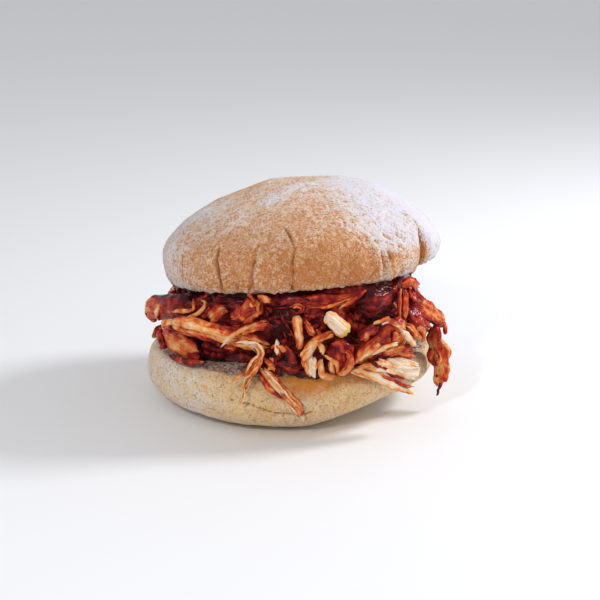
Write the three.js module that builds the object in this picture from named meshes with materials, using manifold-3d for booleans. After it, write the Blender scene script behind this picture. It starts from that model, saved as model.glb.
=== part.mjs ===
// A pulled chicken sandwich: a heap of sauced shreds between the crown and the heel of a soft floury bun.
// Millimetres, +Z up. The heel stands on its flat base, whose centre is the origin, and the open front
// faces -Y.
import * as THREE from "three";
import { mergeVertices } from "three/addons/utils/BufferGeometryUtils.js";
import Module from "manifold-3d";

const wasm = await Module();
wasm.setup();

// Driving dimensions
const bunRadius = 52; // half the width of the whole bun
const gap = 0.35; // left between pieces that touch

const heel = {
  radius: bunRadius + 0.8,
  baseRadius: 30, // the flat spot that it rests on
  bulgeHeight: 11.6, // height of its widest line
  rimRadius: 49.3, // edge of the cut face
  rimHeight: 20.1,
  fullness: 2.3, // over 2 is fuller than an ellipse
  tilt: 2.8, // degrees: the front of the cut face rides higher
  dish: 0.9, // how far the middle of the cut face sags
  uneven: 0.9, // how far its outline wanders in and out
  rimUneven: 0.6, // how far its rim wanders up and down
  tuck: { angle: -18, rise: 6.8 }, // the underside rises early on this side
  segments: 64,
};

const crown = {
  radius: bunRadius - 0.5,
  rimRadius: 48.4, // edge of the cut face
  bulgeHeight: 8.5, // from the cut face up to its widest line
  domeHeight: 25.5, // from the widest line to the top
  fullness: 2.15, // over 2 is fuller than an ellipse
  uneven: 0.9, // how far its outline wanders in and out
  domeUneven: 0.6, // how far its dome wanders up and down
  centre: new THREE.Vector3(4.1, 0.5, 47.5), // middle of the cut face
  roll: -4.1, // degrees: the right side rides higher
  pitch: -6, // degrees: the front rides higher
  segments: 96,
};

const heap = {
  radius: 46.5,
  bulge: 2.6, // how far its waist stands out
  corner: 1.5, // how far it falls back at the cut faces
  lumps: 2.4, // unevenness of its outline
  rimClearance: 0.7, // how far it keeps above the uneven rim of the heel
  segments: 66,
};

// Where the heap falls back: angle, depth, spread in degrees, and the share of its height where it is
// deepest. Each reaches over hollowReach of the height.
const hollowReach = 0.45;
const hollows = [
  { angle: 4, depth: 7.5, spread: 32, height: 1 }, // under the lobe of the crown
  { angle: -119, depth: 9, spread: 15, height: 0 }, // the cut face of the heel shows here
];

// Where the crown's shoulder falls away: angle, spread in degrees, drop, and the radii and heights over which
// the drop sets in
const slumps = [
  { angle: 190, spread: 62, drop: 3.3, radii: [6, 34], heights: [9, 22] },
  { angle: -1.4, spread: 20, drop: 3.5, radii: [24, 44], heights: [4, 20] },
];

// Creases in the crown's crust: angle round the bun, depth, half width along the rim, and how far up they run
const creases = [
  { angle: -147, depth: 0.8, width: 2.2, reach: 12 },
  { angle: -124, depth: 1.6, width: 2.4, reach: 18 },
  { angle: -117, depth: 0.9, width: 2.0, reach: 9 },
  { angle: -109, depth: 1.0, width: 2.2, reach: 17 },
  { angle: -93, depth: 1.7, width: 2.4, reach: 22 },
  { angle: -82, depth: 0.7, width: 2.4, reach: 12 },
  { angle: -70, depth: 0.8, width: 2.2, reach: 14 },
  { angle: -61, depth: 1.1, width: 2.2, reach: 18 },
  { angle: -54, depth: 1.5, width: 2.4, reach: 20 },
  { angle: -45, depth: 1.0, width: 2.2, reach: 10 },
  { angle: 38, depth: 1.2, width: 2.6, reach: 15 },
  { angle: 62, depth: 0.9, width: 2.4, reach: 18 },
  { angle: 84, depth: 1.5, width: 2.6, reach: 14 },
  { angle: 109, depth: 0.9, width: 2.4, reach: 19 },
  { angle: 131, depth: 1.3, width: 2.6, reach: 16 },
  { angle: 158, depth: 1.0, width: 2.4, reach: 12 },
  { angle: 183, depth: 1.2, width: 2.4, reach: 17 },
];

// The deep fold at the right, and the lobe of crust that stands out behind it
const fold = { angle: -29, depth: 4.2, width: 4.2, reach: 20 };
const lobe = { angle: 4, out: 1.4, spread: 25.5, height: 2.1, reach: 6.4, lift: 4.4 };

// The large shreds that show on the outside of the heap, or hang from it. Each runs along a path and has a
// flat oval section. Its width is given at both ends, blunt is how much of that is left at the very tips, and
// twist is the turn of its flat side, in degrees.
const shreds = {
  chicken_roll_left: {
    path: [[-52, -8, 34.5], [-45.5, -18, 38.3], [-38, -27, 40.2], [-31.5, -33, 41]],
    width: [8.5, 10.5], thickness: 8, blunt: 0.75, twist: 0, sauced: true,
  },
  chicken_slab_left: {
    path: [[-45.5, -24, 31], [-39, -31.5, 29], [-31, -37.5, 27]],
    width: [10, 10], thickness: 5, blunt: 0.7, twist: 8, sauced: true,
  },
  chicken_plank: {
    path: [[-43, -35, 37.5], [-34, -43.5, 38.6], [-24, -48, 37.6], [-15.5, -50, 36], [-6.5, -50.5, 33.2]],
    width: [6, 6.8], thickness: 4.4, blunt: 0.75, twist: 10, sauced: false,
  },
  chicken_folded_strand: {
    path: [[-23, -53, 34], [-18, -54, 35.8], [-12.5, -56, 35.8], [-9.5, -56.5, 33], [-11.5, -55.5, 28.5],
      [-14.5, -54.5, 22.5], [-16.5, -54.5, 16]],
    width: [3.6, 3.4], thickness: 2.4, blunt: 0.35, twist: 0, sauced: false,
  },
  chicken_drape: {
    path: [[-9.5, -52.5, 27], [-6, -54.5, 23], [-1.5, -55.5, 18.5], [2.5, -55, 13.5], [4.5, -52, 8]],
    width: [4.4, 4], thickness: 2.6, blunt: 0.4, twist: -10, sauced: false,
  },
  chicken_stick: {
    path: [[2.5, -50, 45], [3, -52, 40], [3.5, -51.5, 32.5]],
    width: [3.2, 3.2], thickness: 3, blunt: 0.7, twist: 0, sauced: false,
  },
  chicken_zigzag: {
    path: [[15.5, -50.5, 38.5], [10.5, -53, 37], [6.5, -54, 33], [6.3, -54, 28], [6.5, -52, 23]],
    width: [3.6, 3.6], thickness: 2.8, blunt: 0.7, twist: 0, sauced: false,
  },
  chicken_pale_chunk: {
    path: [[12.5, -50, 45], [16.5, -51, 41.5], [20, -49.5, 38]],
    width: [5.2, 5.6], thickness: 4.6, blunt: 0.85, twist: 0, sauced: false,
  },
  chicken_lump_front: {
    path: [[15.5, -49.5, 36], [17.5, -51, 31], [18.5, -50, 24.5]],
    width: [9, 9], thickness: 6.5, blunt: 0.6, twist: 0, sauced: true,
  },
  chicken_fan: {
    path: [[23, -47, 26.5], [28, -48.5, 32], [33, -47.5, 36], [41, -41, 36.5]],
    width: [6.5, 13], thickness: 5.5, blunt: 0.6, twist: 0, sauced: false,
  },
  chicken_flap_right: {
    path: [[31.5, -44, 29.6], [37.5, -42, 28.4], [44, -37, 26.3]],
    width: [4.5, 5.5], thickness: 4, blunt: 0.6, twist: 0, sauced: true,
  },
  chicken_slab_right: {
    path: [[20.5, -51.5, 25], [29, -50.5, 24.8], [36.5, -46.5, 22], [45, -40.5, 18]],
    width: [4.2, 13.8], thickness: 3.6, blunt: 0.9, twist: 15, sauced: false,
  },
  chicken_chunk_top_right: {
    path: [[22.5, -43.5, 46.3], [29, -40.5, 46.5], [36.5, -34, 46.5]],
    width: [10, 11.5], thickness: 7, blunt: 0.7, twist: 0, sauced: true,
  },
  chicken_strip_right: {
    path: [[40.5, -26, 49], [45.5, -24, 42.2], [51.5, -20, 36], [56.5, -17, 31]],
    width: [6.2, 7.4], thickness: 4.4, blunt: 0.6, twist: 0, sauced: true,
  },
  chicken_drip_right: {
    path: [[51, -17.5, 31], [53.5, -19.5, 24.5], [55, -20.5, 18.5], [55, -21, 13], [54, -21, 8]],
    width: [8, 9.5], thickness: 5, blunt: 0.25, twist: -55, sauced: true,
  },
  chicken_sheet_top: {
    path: [[-3, -44, 47.6], [7, -45.5, 48], [17, -44, 48.4], [25, -38.5, 49]],
    width: [5, 5], thickness: 4, blunt: 0.4, twist: 0, sauced: true,
  },
  chicken_cluster_left: {
    path: [[-16.5, -48, 41], [-14, -48.5, 45.5], [-9.5, -46.5, 48.5]],
    width: [8.5, 7], thickness: 5, blunt: 0.6, twist: 0, sauced: true,
  },
};
const shredSides = 8;
const shredSteps = 7;

const degrees = (angle) => THREE.MathUtils.degToRad(angle);
const bell = (x) => Math.exp(-x * x);
const ease = (x, low, high) => THREE.MathUtils.smoothstep(x, low, high);

// How far round the bun one angle is from another, in radians from -pi to pi
function turnBetween(a, b) {
  return Math.atan2(Math.sin(a - b), Math.cos(a - b));
}

// A soft uneven value from -1 to 1 that repeats round the bun
function wander(angle, seed) {
  return (
    0.5 * Math.sin(2 * angle + 1.3 * seed) +
    0.3 * Math.sin(3 * angle + 2.1 * seed) +
    0.2 * Math.sin(5 * angle + 3.7 * seed)
  );
}

// Points of a quarter of a superellipse from start to end, leaving the start level or upright
function quarter(start, end, power, steps, levelFirst) {
  const points = [];
  for (let i = 1; i <= steps; i++) {
    const t = (i / steps) * (Math.PI / 2);
    const fast = Math.sin(t) ** (2 / power);
    const slow = 1 - Math.cos(t) ** (2 / power);
    const across = levelFirst ? fast : slow;
    const up = levelFirst ? slow : fast;
    points.push(
      new THREE.Vector2(
        start.x + (end.x - start.x) * across,
        start.y + (end.y - start.y) * up,
      ),
    );
  }
  return points;
}

// A profile turned about +Z and closed at both ends. Each vertex is then placed by a function of its angle,
// radius and height.
function turned(profile, segments, place) {
  const lathe = new THREE.LatheGeometry(profile, segments);
  lathe.deleteAttribute("normal");
  lathe.deleteAttribute("uv");
  lathe.rotateX(Math.PI / 2);
  const geometry = mergeVertices(lathe, 1e-3);
  const position = geometry.getAttribute("position");
  const p = new THREE.Vector3();
  for (let i = 0; i < position.count; i++) {
    p.fromBufferAttribute(position, i);
    const placed = place(Math.atan2(p.y, p.x), Math.hypot(p.x, p.y), p.z);
    position.setXYZ(
      i,
      placed.radius * Math.cos(placed.angle),
      placed.radius * Math.sin(placed.angle),
      placed.height,
    );
  }
  return geometry;
}

// Height of the heel's cut face at a distance from its middle, before it is tilted
function heelTop(radius) {
  return heel.rimHeight - heel.dish * (1 - Math.min(1, radius / heel.rimRadius) ** 2);
}

// How far the tilt lifts a point of the heel's cut face
function heelLift(y) {
  return -y * Math.tan(degrees(heel.tilt));
}

function makeHeel() {
  const point = (x, y) => new THREE.Vector2(x, y);
  const base = point(heel.baseRadius, 0);
  const widest = point(heel.radius, heel.bulgeHeight);
  const shoulder = point(heel.rimRadius, heel.rimHeight);
  const profile = [
    point(0, 0),
    point(heel.baseRadius * 0.6, 0),
    base,
    ...quarter(base, widest, heel.fullness, 7, true),
    ...quarter(widest, shoulder, heel.fullness, 5, false),
    ...[0.9, 0.65, 0.35].map((share) =>
      point(heel.rimRadius * share, heelTop(heel.rimRadius * share)),
    ),
    point(0, heelTop(0)),
  ];
  return turned(profile, heel.segments, (angle, radius, height) => {
    const outer = ease(radius, heel.baseRadius, heel.rimRadius);
    const raised = ease(height, 2, heel.rimHeight) * ease(radius, heel.rimRadius - 4, heel.rimRadius);
    const facing = ease(Math.cos(angle - degrees(heel.tuck.angle)), 0.43, 1);
    const under = ease(radius, heel.baseRadius * 0.6, 46) * (1 - ease(height, 0, heel.rimHeight));
    const lift = ease(height, 2, heelTop(0)) * heelLift(radius * Math.sin(angle));
    return {
      angle,
      radius: radius + outer * heel.uneven * wander(angle, 1),
      height: height + raised * heel.rimUneven * wander(angle, 2) + heel.tuck.rise * facing * under + lift,
    };
  });
}

function makeCrown() {
  const point = (x, y) => new THREE.Vector2(x, y);
  const rim = point(crown.rimRadius, 0);
  const widest = point(crown.radius, crown.bulgeHeight);
  const top = point(0, crown.bulgeHeight + crown.domeHeight);
  const profile = [
    point(0, 0),
    point(crown.rimRadius * 0.55, 0),
    point(crown.rimRadius * 0.88, 0),
    rim,
    ...quarter(rim, widest, 2, 4, true),
    ...quarter(widest, top, crown.fullness, 11, false),
  ];
  profile[profile.length - 1].x = 0;
  return turned(profile, crown.segments, (angle, radius, height) => {
    const side = ease(radius, 12, crown.rimRadius);
    let out = side * crown.uneven * wander(angle, 4);
    let up = side * crown.domeUneven * ease(height, 4, 20) * wander(angle, 5);
    for (const slump of slumps) {
      const shoulder = ease(radius, ...slump.radii) * ease(height, ...slump.heights);
      const facing = bell(turnBetween(angle, degrees(slump.angle)) / degrees(slump.spread));
      up -= slump.drop * shoulder * facing;
    }
    for (const crease of [...creases, fold]) {
      const across = (turnBetween(angle, degrees(crease.angle)) * radius) / crease.width;
      const along = 1 - ease(height, crease.reach * 0.35, crease.reach);
      out -= side * crease.depth * bell(across) * along;
    }
    const beside = bell(turnBetween(angle, degrees(lobe.angle)) / degrees(lobe.spread));
    out += side * lobe.out * beside * bell((height - lobe.height) / lobe.reach);
    up += lobe.lift * beside * ease(radius, 38, 50) * (1 - ease(height, 0, 12));
    return { angle, radius: radius + out, height: height + up };
  });
}

// The heap fills the space between the two cut faces, out to an uneven outline
function makeHeap(crownMesh) {
  crownMesh.updateMatrixWorld(true);
  const up = new THREE.Vector3(0, 0, 1).transformDirection(crownMesh.matrixWorld);
  const point = (x, y) => new THREE.Vector2(x, y);
  const waist = heap.radius + heap.bulge;
  const profile = [
    point(0, 0),
    point(heap.radius * 0.5, 0),
    point(heap.radius - heap.corner, 0),
    ...[0.1, 0.25, 0.41, 0.57, 0.73, 0.88].map((share) =>
      point(waist - heap.bulge * (2 * share - 1) ** 2, share),
    ),
    point(heap.radius - heap.corner, 1),
    point(heap.radius * 0.5, 1),
    point(0, 1),
  ];
  return turned(profile, heap.segments, (angle, radius, height) => {
    const side = ease(radius, 20, heap.radius);
    const ripple = 0.6 * Math.sin(11 * angle + 7 * height) + 0.5 * Math.sin(7 * angle - 9 * height);
    let r = radius + side * heap.lumps * (0.6 * wander(angle, 7) + 0.5 * ripple);
    for (const hollow of hollows) {
      const beside = bell(turnBetween(angle, degrees(hollow.angle)) / degrees(hollow.spread));
      r -= side * hollow.depth * beside * bell((height - hollow.height) / hollowReach);
    }
    const x = r * Math.cos(angle) + crown.centre.x * height;
    const y = r * Math.sin(angle) + crown.centre.y * height;
    const clearance = gap + heap.rimClearance * ease(r, heel.rimRadius - 6, heel.rimRadius - 2);
    const low = heelTop(r) + heelLift(y) + clearance;
    const high =
      crown.centre.z - (up.x * (x - crown.centre.x) + up.y * (y - crown.centre.y)) / up.z - gap;
    return {
      angle: Math.atan2(y, x),
      radius: Math.hypot(x, y),
      height: low + (high - low) * height,
    };
  });
}

// A cylinder bent along a path, flattened to an oval whose broad side faces away from the middle of the bun
function makeShred(spec, grow = 0) {
  const points = spec.path.map((p) => new THREE.Vector3(...p));
  const curve = new THREE.CatmullRomCurve3(points);
  const cylinder = new THREE.CylinderGeometry(1, 1, 1, shredSides, shredSteps);
  cylinder.deleteAttribute("normal");
  cylinder.deleteAttribute("uv");
  const geometry = mergeVertices(cylinder, 1e-4);
  const position = geometry.getAttribute("position");
  const v = new THREE.Vector3();
  for (let i = 0; i < position.count; i++) {
    v.fromBufferAttribute(position, i);
    const t = THREE.MathUtils.clamp(v.y + 0.5, 0, 1);
    const at = curve.getPointAt(t);
    const along = curve.getTangentAt(t);
    const away = new THREE.Vector3(at.x, at.y, 0).normalize();
    const side = along.clone().cross(away).normalize().applyAxisAngle(along, degrees(spec.twist));
    const out = side.clone().cross(along);
    const full = spec.blunt + (1 - spec.blunt) * Math.sin(Math.PI * t) ** 0.6;
    const width = THREE.MathUtils.lerp(spec.width[0], spec.width[1], t);
    at.addScaledVector(side, v.x * ((width / 2) * full + grow));
    at.addScaledVector(out, v.z * ((spec.thickness / 2) * full + grow));
    at.addScaledVector(along, 2 * (t - 0.5) * grow);
    position.setXYZ(i, at.x, at.y, at.z);
  }
  return geometry;
}

function solidOf(geometry) {
  return new wasm.Manifold(
    new wasm.Mesh({
      numProp: 3,
      vertProperties: new Float32Array(geometry.getAttribute("position").array),
      triVerts: new Uint32Array(geometry.index.array),
    }),
  );
}

function geometryOf(solid) {
  const mesh = solid.getMesh();
  const geometry = new THREE.BufferGeometry();
  geometry.setAttribute("position", new THREE.BufferAttribute(mesh.vertProperties, 3));
  geometry.setIndex(new THREE.BufferAttribute(mesh.triVerts, 1));
  return geometry;
}

// A mesh's solid where it lies, swollen a little about one point so that what it cuts keeps clear of it
function swollen(mesh, about, growth) {
  const scale = new THREE.Matrix4().makeScale(growth, growth, growth);
  const place = new THREE.Matrix4().makeTranslation(about.x, about.y, about.z);
  const back = place.clone().invert();
  const matrix = place.multiply(scale).multiply(back).multiply(mesh.matrixWorld);
  return solidOf(mesh.geometry.clone().applyMatrix4(matrix));
}

// The largest of the bodies that a cut leaves
function largest(solid) {
  return solid.decompose().reduce((a, b) => (b.volume() > a.volume() ? b : a));
}

function finish(colour, roughness) {
  return new THREE.MeshStandardMaterial({ color: colour, roughness, metalness: 0 });
}

function piece(name, geometry, material) {
  const mesh = new THREE.Mesh(geometry, material);
  mesh.name = name;
  return mesh;
}

const crust = finish(0xbe8f66, 0.85);
const paleCrust = finish(0xc7ac86, 0.9);
const chicken = finish(0xd39a5c, 0.5);
const sauce = finish(0x6a1f12, 0.3);

const heelMesh = piece("bun_heel", makeHeel(), paleCrust);
const crownMesh = piece("bun_crown", makeCrown(), crust);
crownMesh.position.copy(crown.centre);
crownMesh.rotation.set(degrees(crown.pitch), degrees(crown.roll), 0);
crownMesh.updateMatrixWorld(true);

const crownTop = new THREE.Vector3(0, 0, crown.bulgeHeight + crown.domeHeight).applyMatrix4(
  crownMesh.matrixWorld,
);
const bread = swollen(crownMesh, crownTop, 1.012).add(
  swollen(heelMesh, new THREE.Vector3(), 1.018),
);

const sandwich = new THREE.Group();
sandwich.add(heelMesh);
sandwich.add(crownMesh);
let laid = null; // the shreds placed so far, grown by the gap
for (const [name, spec] of Object.entries(shreds)) {
  const clear = solidOf(makeShred(spec)).subtract(bread);
  const cut = largest(laid ? clear.subtract(laid) : clear);
  sandwich.add(piece(name, geometryOf(cut), spec.sauced ? sauce : chicken));
  const grown = solidOf(makeShred(spec, gap));
  laid = laid ? laid.add(grown) : grown;
}
const heapSolid = largest(solidOf(makeHeap(crownMesh)).subtract(laid));
sandwich.add(piece("chicken_heap", geometryOf(heapSolid), sauce));

export default sandwich;
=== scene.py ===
# Pulled chicken in a soft floury bun. Metres, +Z up, the open front faces -Y.
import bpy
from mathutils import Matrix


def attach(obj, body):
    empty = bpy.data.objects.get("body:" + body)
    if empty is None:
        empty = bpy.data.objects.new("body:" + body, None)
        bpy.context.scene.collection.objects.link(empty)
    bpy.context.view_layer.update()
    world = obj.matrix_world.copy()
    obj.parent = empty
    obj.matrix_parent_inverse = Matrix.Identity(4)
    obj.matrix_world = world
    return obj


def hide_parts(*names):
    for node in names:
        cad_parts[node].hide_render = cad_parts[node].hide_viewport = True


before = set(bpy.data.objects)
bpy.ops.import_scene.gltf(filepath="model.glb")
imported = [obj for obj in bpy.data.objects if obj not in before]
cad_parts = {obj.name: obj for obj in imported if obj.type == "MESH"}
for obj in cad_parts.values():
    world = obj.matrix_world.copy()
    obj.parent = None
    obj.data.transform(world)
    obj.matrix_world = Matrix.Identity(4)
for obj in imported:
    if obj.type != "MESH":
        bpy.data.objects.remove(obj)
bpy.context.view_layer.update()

import math

import bmesh
import bpy
import numpy as np
from mathutils import Matrix, Vector, noise

scene = bpy.context.scene
scene.view_settings.view_transform = "Standard"
mm = 0.001

# small helpers

def deselectAll():
    bpy.ops.object.select_all(action="DESELECT")


def activate(piece):
    deselectAll()
    piece.select_set(True)
    bpy.context.view_layer.objects.active = piece


def getPoints(piece):
    values = np.empty(len(piece.data.vertices) * 3)
    piece.data.vertices.foreach_get("co", values)
    return values.reshape(-1, 3)


def setPoints(piece, points):
    piece.data.vertices.foreach_set("co", np.asarray(points, float).ravel())
    piece.data.update()


def getNormals(piece):
    values = np.empty(len(piece.data.vertices) * 3)
    piece.data.vertices.foreach_get("normal", values)
    return values.reshape(-1, 3)


def setFields(piece, **fields):
    # each field has one number or one vector per vertex, which the materials read
    for name, values in fields.items():
        values = np.asarray(values, float)
        if values.ndim == 0:
            values = np.full(len(piece.data.vertices), values)
        isVector = values.ndim == 2
        kind = "FLOAT_VECTOR" if isVector else "FLOAT"
        layer = piece.data.attributes.get(name) or piece.data.attributes.new(name, kind, "POINT")
        layer.data.foreach_set("vector" if isVector else "value", values.ravel())


def readField(piece, name, width=1):
    values = np.empty(len(piece.data.vertices) * width)
    piece.data.attributes[name].data.foreach_get("vector" if width > 1 else "value", values)
    return values.reshape(-1, width) if width > 1 else values


def ease(x, low, high):
    t = np.clip((x - low) / (high - low), 0, 1)
    return t * t * (3 - 2 * t)


def bell(x):
    return np.exp(-x * x)


def weigh(weights, **parts):
    # adds up the named parts, each times its weight
    return sum(weights[name] * part for name, part in parts.items())


def polar(points):
    # angle and radius about the upright axis, and height
    return np.arctan2(points[:, 1], points[:, 0]), np.hypot(points[:, 0], points[:, 1]), points[:, 2]


def turnBetween(a, b):
    return np.arctan2(np.sin(a - b), np.cos(a - b))


def near(angle, at, spread):
    # 1 at one place round the bun, fading on both sides of it; at and spread are in degrees
    return bell(turnBetween(angle, math.radians(at)) / math.radians(spread))


def wander(angle, seed):
    # soft unevenness from -1 to 1 that repeats round the bun
    return (
        0.5 * np.sin(2 * angle + 1.3 * seed)
        + 0.3 * np.sin(3 * angle + 2.1 * seed)
        + 0.2 * np.sin(5 * angle + 3.7 * seed)
    )


def softNoise(points, size, seed=0):
    # smooth noise from about -1 to 1, with lumps of that size
    shift = Vector((seed * 3.13, seed * 1.71, seed * 2.37))
    return np.array([noise.noise(Vector(p) / size + shift) for p in points])


def dents(points, rules):
    # soft swellings and hollows: the height and size of each kind, and its seed
    return sum(height * softNoise(points, size, seed) for height, size, seed in rules)


def addLumps(points, amount, size, seed):
    moves = [softNoise(points, size, seed + k) for k in range(3)]
    return points + amount * np.stack(moves, axis=1)


def subdivideEdges(piece, isWanted, cuts):
    # cuts the edges whose two ends pass the test
    bpy.ops.object.mode_set(mode="EDIT")
    bpy.ops.mesh.select_mode(type="EDGE")
    bpy.ops.mesh.select_all(action="DESELECT")
    mesh = bmesh.from_edit_mesh(piece.data)
    for edge in mesh.edges:
        edge.select = isWanted(edge.verts[0].co, edge.verts[1].co)
    bmesh.update_edit_mesh(piece.data)
    bpy.ops.mesh.subdivide(number_cuts=cuts)
    bpy.ops.object.mode_set(mode="OBJECT")


def nearLine(points, line):
    # distance from a line through several points
    nearest = np.full(len(points), 9.0)
    for start, end in zip(line, line[1:]):
        start, end = np.array(start), np.array(end)
        step = end - start
        along = np.clip((points - start) @ step / (step @ step), 0, 1)
        nearest = np.minimum(nearest, np.linalg.norm(points - start - along[:, None] * step, axis=1))
    return nearest


# camera, lights and floor

view = {
    "target": Vector((0.0037, 0, 0.0357)),
    "distance": 0.6,
    "elevation": math.radians(16),
    "lens": 96.33,
}


def addCamera():
    tilt = view["elevation"]
    back = Vector((0, -math.cos(tilt), math.sin(tilt)))
    bpy.ops.object.camera_add(
        location=view["target"] + back * view["distance"],
        rotation=(math.radians(90) - tilt, 0, 0),
    )
    camera = bpy.context.object
    camera.data.lens = view["lens"]
    camera.data.clip_start = 0.01
    scene.camera = camera


lights = {
    "window": {"place": (0.5, 0.12, 0.42), "size": 0.17, "power": 3.0, "colour": (0.93, 0.95, 1.0)},
    "front": {"place": (-0.2, -0.6, 0.42), "size": 0.075, "power": 1.3, "colour": (1.0, 0.97, 0.94)},
    "sky": (0.94, 0.96, 1.0),
    "skyStrength": 0.6,
}


def addLights():
    for name in ("window", "front"):
        lamp = lights[name]
        away = Vector(lamp["place"]) - view["target"]
        turn = away.to_track_quat("Z", "Y").to_euler()
        bpy.ops.object.light_add(type="AREA", location=lamp["place"], rotation=turn)
        light = bpy.context.object
        light.name = name + "Light"
        light.data.shape = "DISK"
        light.data.size = lamp["size"]
        light.data.energy = lamp["power"]
        light.data.color = lamp["colour"]
    world = bpy.data.worlds.new("paleSky")
    world.use_nodes = True
    backdrop = world.node_tree.nodes["Background"]
    backdrop.inputs["Color"].default_value = (*lights["sky"], 1)
    backdrop.inputs["Strength"].default_value = lights["skyStrength"]
    scene.world = world


def addFloor():
    deselectAll()
    bpy.ops.mesh.primitive_plane_add(size=12, location=(0, 0, 0))
    floor = bpy.context.object
    floor.name = "floor"
    material = bpy.data.materials.new("paleFloor")
    material.use_nodes = True
    shader = material.node_tree.nodes["Principled BSDF"]
    shader.inputs["Base Color"].default_value = (0.9, 0.9, 0.9, 1)
    shader.inputs["Roughness"].default_value = 0.7
    floor.data.materials.append(material)


addCamera()
addLights()
addFloor()
print("camera, lights and floor are in place")


# material helpers

def addNode(tree, kind, inputs=None, **settings):
    node = tree.nodes.new(kind)
    for name, value in settings.items():
        setattr(node, name, value)
    for name, value in (inputs or {}).items():
        if isinstance(value, bpy.types.NodeSocket):
            tree.links.new(value, node.inputs[name])
        else:
            node.inputs[name].default_value = value
    return node


def field(tree, name, output="Fac"):
    return addNode(tree, "ShaderNodeAttribute", attribute_name=name).outputs[output]


def speckle(tree, where, scale, detail=2.0, roughness=0.5, distortion=0.0):
    inputs = {
        "Vector": where,
        "Scale": scale,
        "Detail": detail,
        "Roughness": roughness,
        "Distortion": distortion,
    }
    return addNode(tree, "ShaderNodeTexNoise", inputs).outputs["Fac"]


def calc(tree, operation, a, b=0.0, c=0.0):
    inputs = {0: a, 1: b, 2: c}
    return addNode(tree, "ShaderNodeMath", inputs, operation=operation).outputs[0]


def between(tree, value, low, high):
    inputs = {"Value": value, "From Min": low, "From Max": high}
    node = addNode(tree, "ShaderNodeMapRange", inputs, interpolation_type="SMOOTHSTEP")
    return node.outputs["Result"]


def swing(tree, pattern, reach=1.0):
    # makes a pattern that runs from 0 to 1 run from minus to plus the reach
    return calc(tree, "MULTIPLY_ADD", pattern, 2 * reach, -reach)


def stirIn(tree, value, swings, amounts):
    # adds its amount of each of the swinging patterns to a value
    for key, amount in amounts.items():
        value = calc(tree, "MULTIPLY_ADD", swings[key], amount, value)
    return value


def blend(tree, amount, a, b, mode="MIX"):
    paint = lambda c: (*c, 1) if isinstance(c, tuple) and len(c) == 3 else c
    inputs = {0: amount, 6: paint(a), 7: paint(b)}
    node = addNode(tree, "ShaderNodeMix", inputs, data_type="RGBA", blend_type=mode)
    return node.outputs[2]


def coat(tree, colour, value, kind, share=1.0):
    # lays a coat over a colour where the value rises from the coat's low level to its high one
    paint, low, high, cover = kind
    amount = calc(tree, "MULTIPLY", between(tree, value, low, high), cover * share)
    return blend(tree, amount, colour, paint)


def ramp(tree, value, stops):
    node = addNode(tree, "ShaderNodeValToRGB", {"Fac": value})
    elements = node.color_ramp.elements
    while len(elements) < len(stops):
        elements.new(0.5)
    for element, (position, colour) in zip(elements, stops):
        element.position = position
        element.color = (*colour, 1)
    return node.outputs["Color"]


def startMaterial(name):
    material = bpy.data.materials.new(name)
    material.use_nodes = True
    tree = material.node_tree
    return material, tree, tree.nodes["Principled BSDF"]


def finishMaterial(tree, shader, look, colour, height):
    # the colour, the fixed settings of the finish and the relief
    tree.links.new(colour, shader.inputs["Base Color"])
    for name, value in look["finish"].items():
        shader.inputs[name].default_value = value
    inputs = {"Strength": look["bump"], "Distance": 0.0004, "Height": height}
    bump = addNode(tree, "ShaderNodeBump", inputs)
    tree.links.new(bump.outputs["Normal"], shader.inputs["Normal"])


# bread

bread = {
    # flour from a thin dusting to a thick white coat; the bluish white at the thick end is partly the
    # painted highlight of the brightly lit right side
    "flour": [
        (0.0, (0.70, 0.37, 0.18)),
        (0.38, (0.78, 0.54, 0.37)),
        (0.68, (0.80, 0.70, 0.62)),
        (1.0, (0.76, 0.75, 0.82)),
    ],
    # coats over the crust: colour, the low and high level between which each sets in, and its cover
    "golden": ((0.56, 0.26, 0.055), 0.50, 0.66, 0.5),
    # painted shade in the creases, the fold and the cracks
    "crease": ((0.20, 0.070, 0.022), 0.15, 0.8, 0.9),
    # painted shade in the wrinkles
    "wrinkle": ((0.33, 0.140, 0.050), 0, 0.36, 0.34),
    "bran": ((0.27, 0.14, 0.065), 0.60, 0.70, 1),
    "stain": ((0.62, 0.195, 0.016), 0.15, 1.5, 0.92),
    "redStain": ((0.40, 0.055, 0.025), 0.3, 0.9, 0.85),
    "saucedCrumb": ((0.40, 0.055, 0.025), 0.3, 1.0, 0.7),
    "crumb": ((0.93, 0.70, 0.56), 0.36, 0.62, 1),
    "crumbPore": (0.26, 0.15, 0.105),
    # the same levels and cover for the browned crust and for the flour
    "browned": (-0.1, 1.0, 1),
    "floured": (-0.15, 1.05, 0.9),
    "strokes": (300, 900, 1300),  # how close together the strokes of flour lie each way
    # scale, detail, roughness and distortion of the patterns and of the spots
    "patterns": {
        "patches": (70, 4, 0.7, 0.4),
        "mottle": (330, 3, 0.6),
        "grain": (1350, 2, 0.65),
        "fine": (3400, 2, 0.6),
        "wrinkles": (720, 3, 0.7, 1.4),
    },
    "spots": {"golden": (160, 3, 0.7, 0.3), "bran": (1400, 2, 0.5, 0.4), "pores": (700, 4, 0.7)},
    # how much each pattern adds to the browning, the flour, the sauce stains and the relief; the wrinkles
    # get browner and less floured, as painted shade in their grooves
    "browning": {"patches": 0.65, "mottle": 0.35, "grain": 0.8, "wrinkles": 1.2},
    "dusting": {"grain": 1.7, "fine": 1.1, "mottle": 0.9, "wrinkles": -1.3},
    "drifting": {"patches": 0.6},
    "staining": {"mottle": 0.85, "grain": 0.45},
    "blotting": {"mottle": 0.85, "grain": 0.45, "patches": 1.0},
    "spotting": {"mottle": 0.45},
    "relief": {"grain": 0.45, "fine": 0.2, "mottle": 0.45, "wrinkles": -0.65},
    "bump": 0.75,
    "finish": {
        "Roughness": 0.86, "Specular IOR Level": 0.25, "Sheen Weight": 0.08, "Sheen Roughness": 0.6,
    },
}


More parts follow.
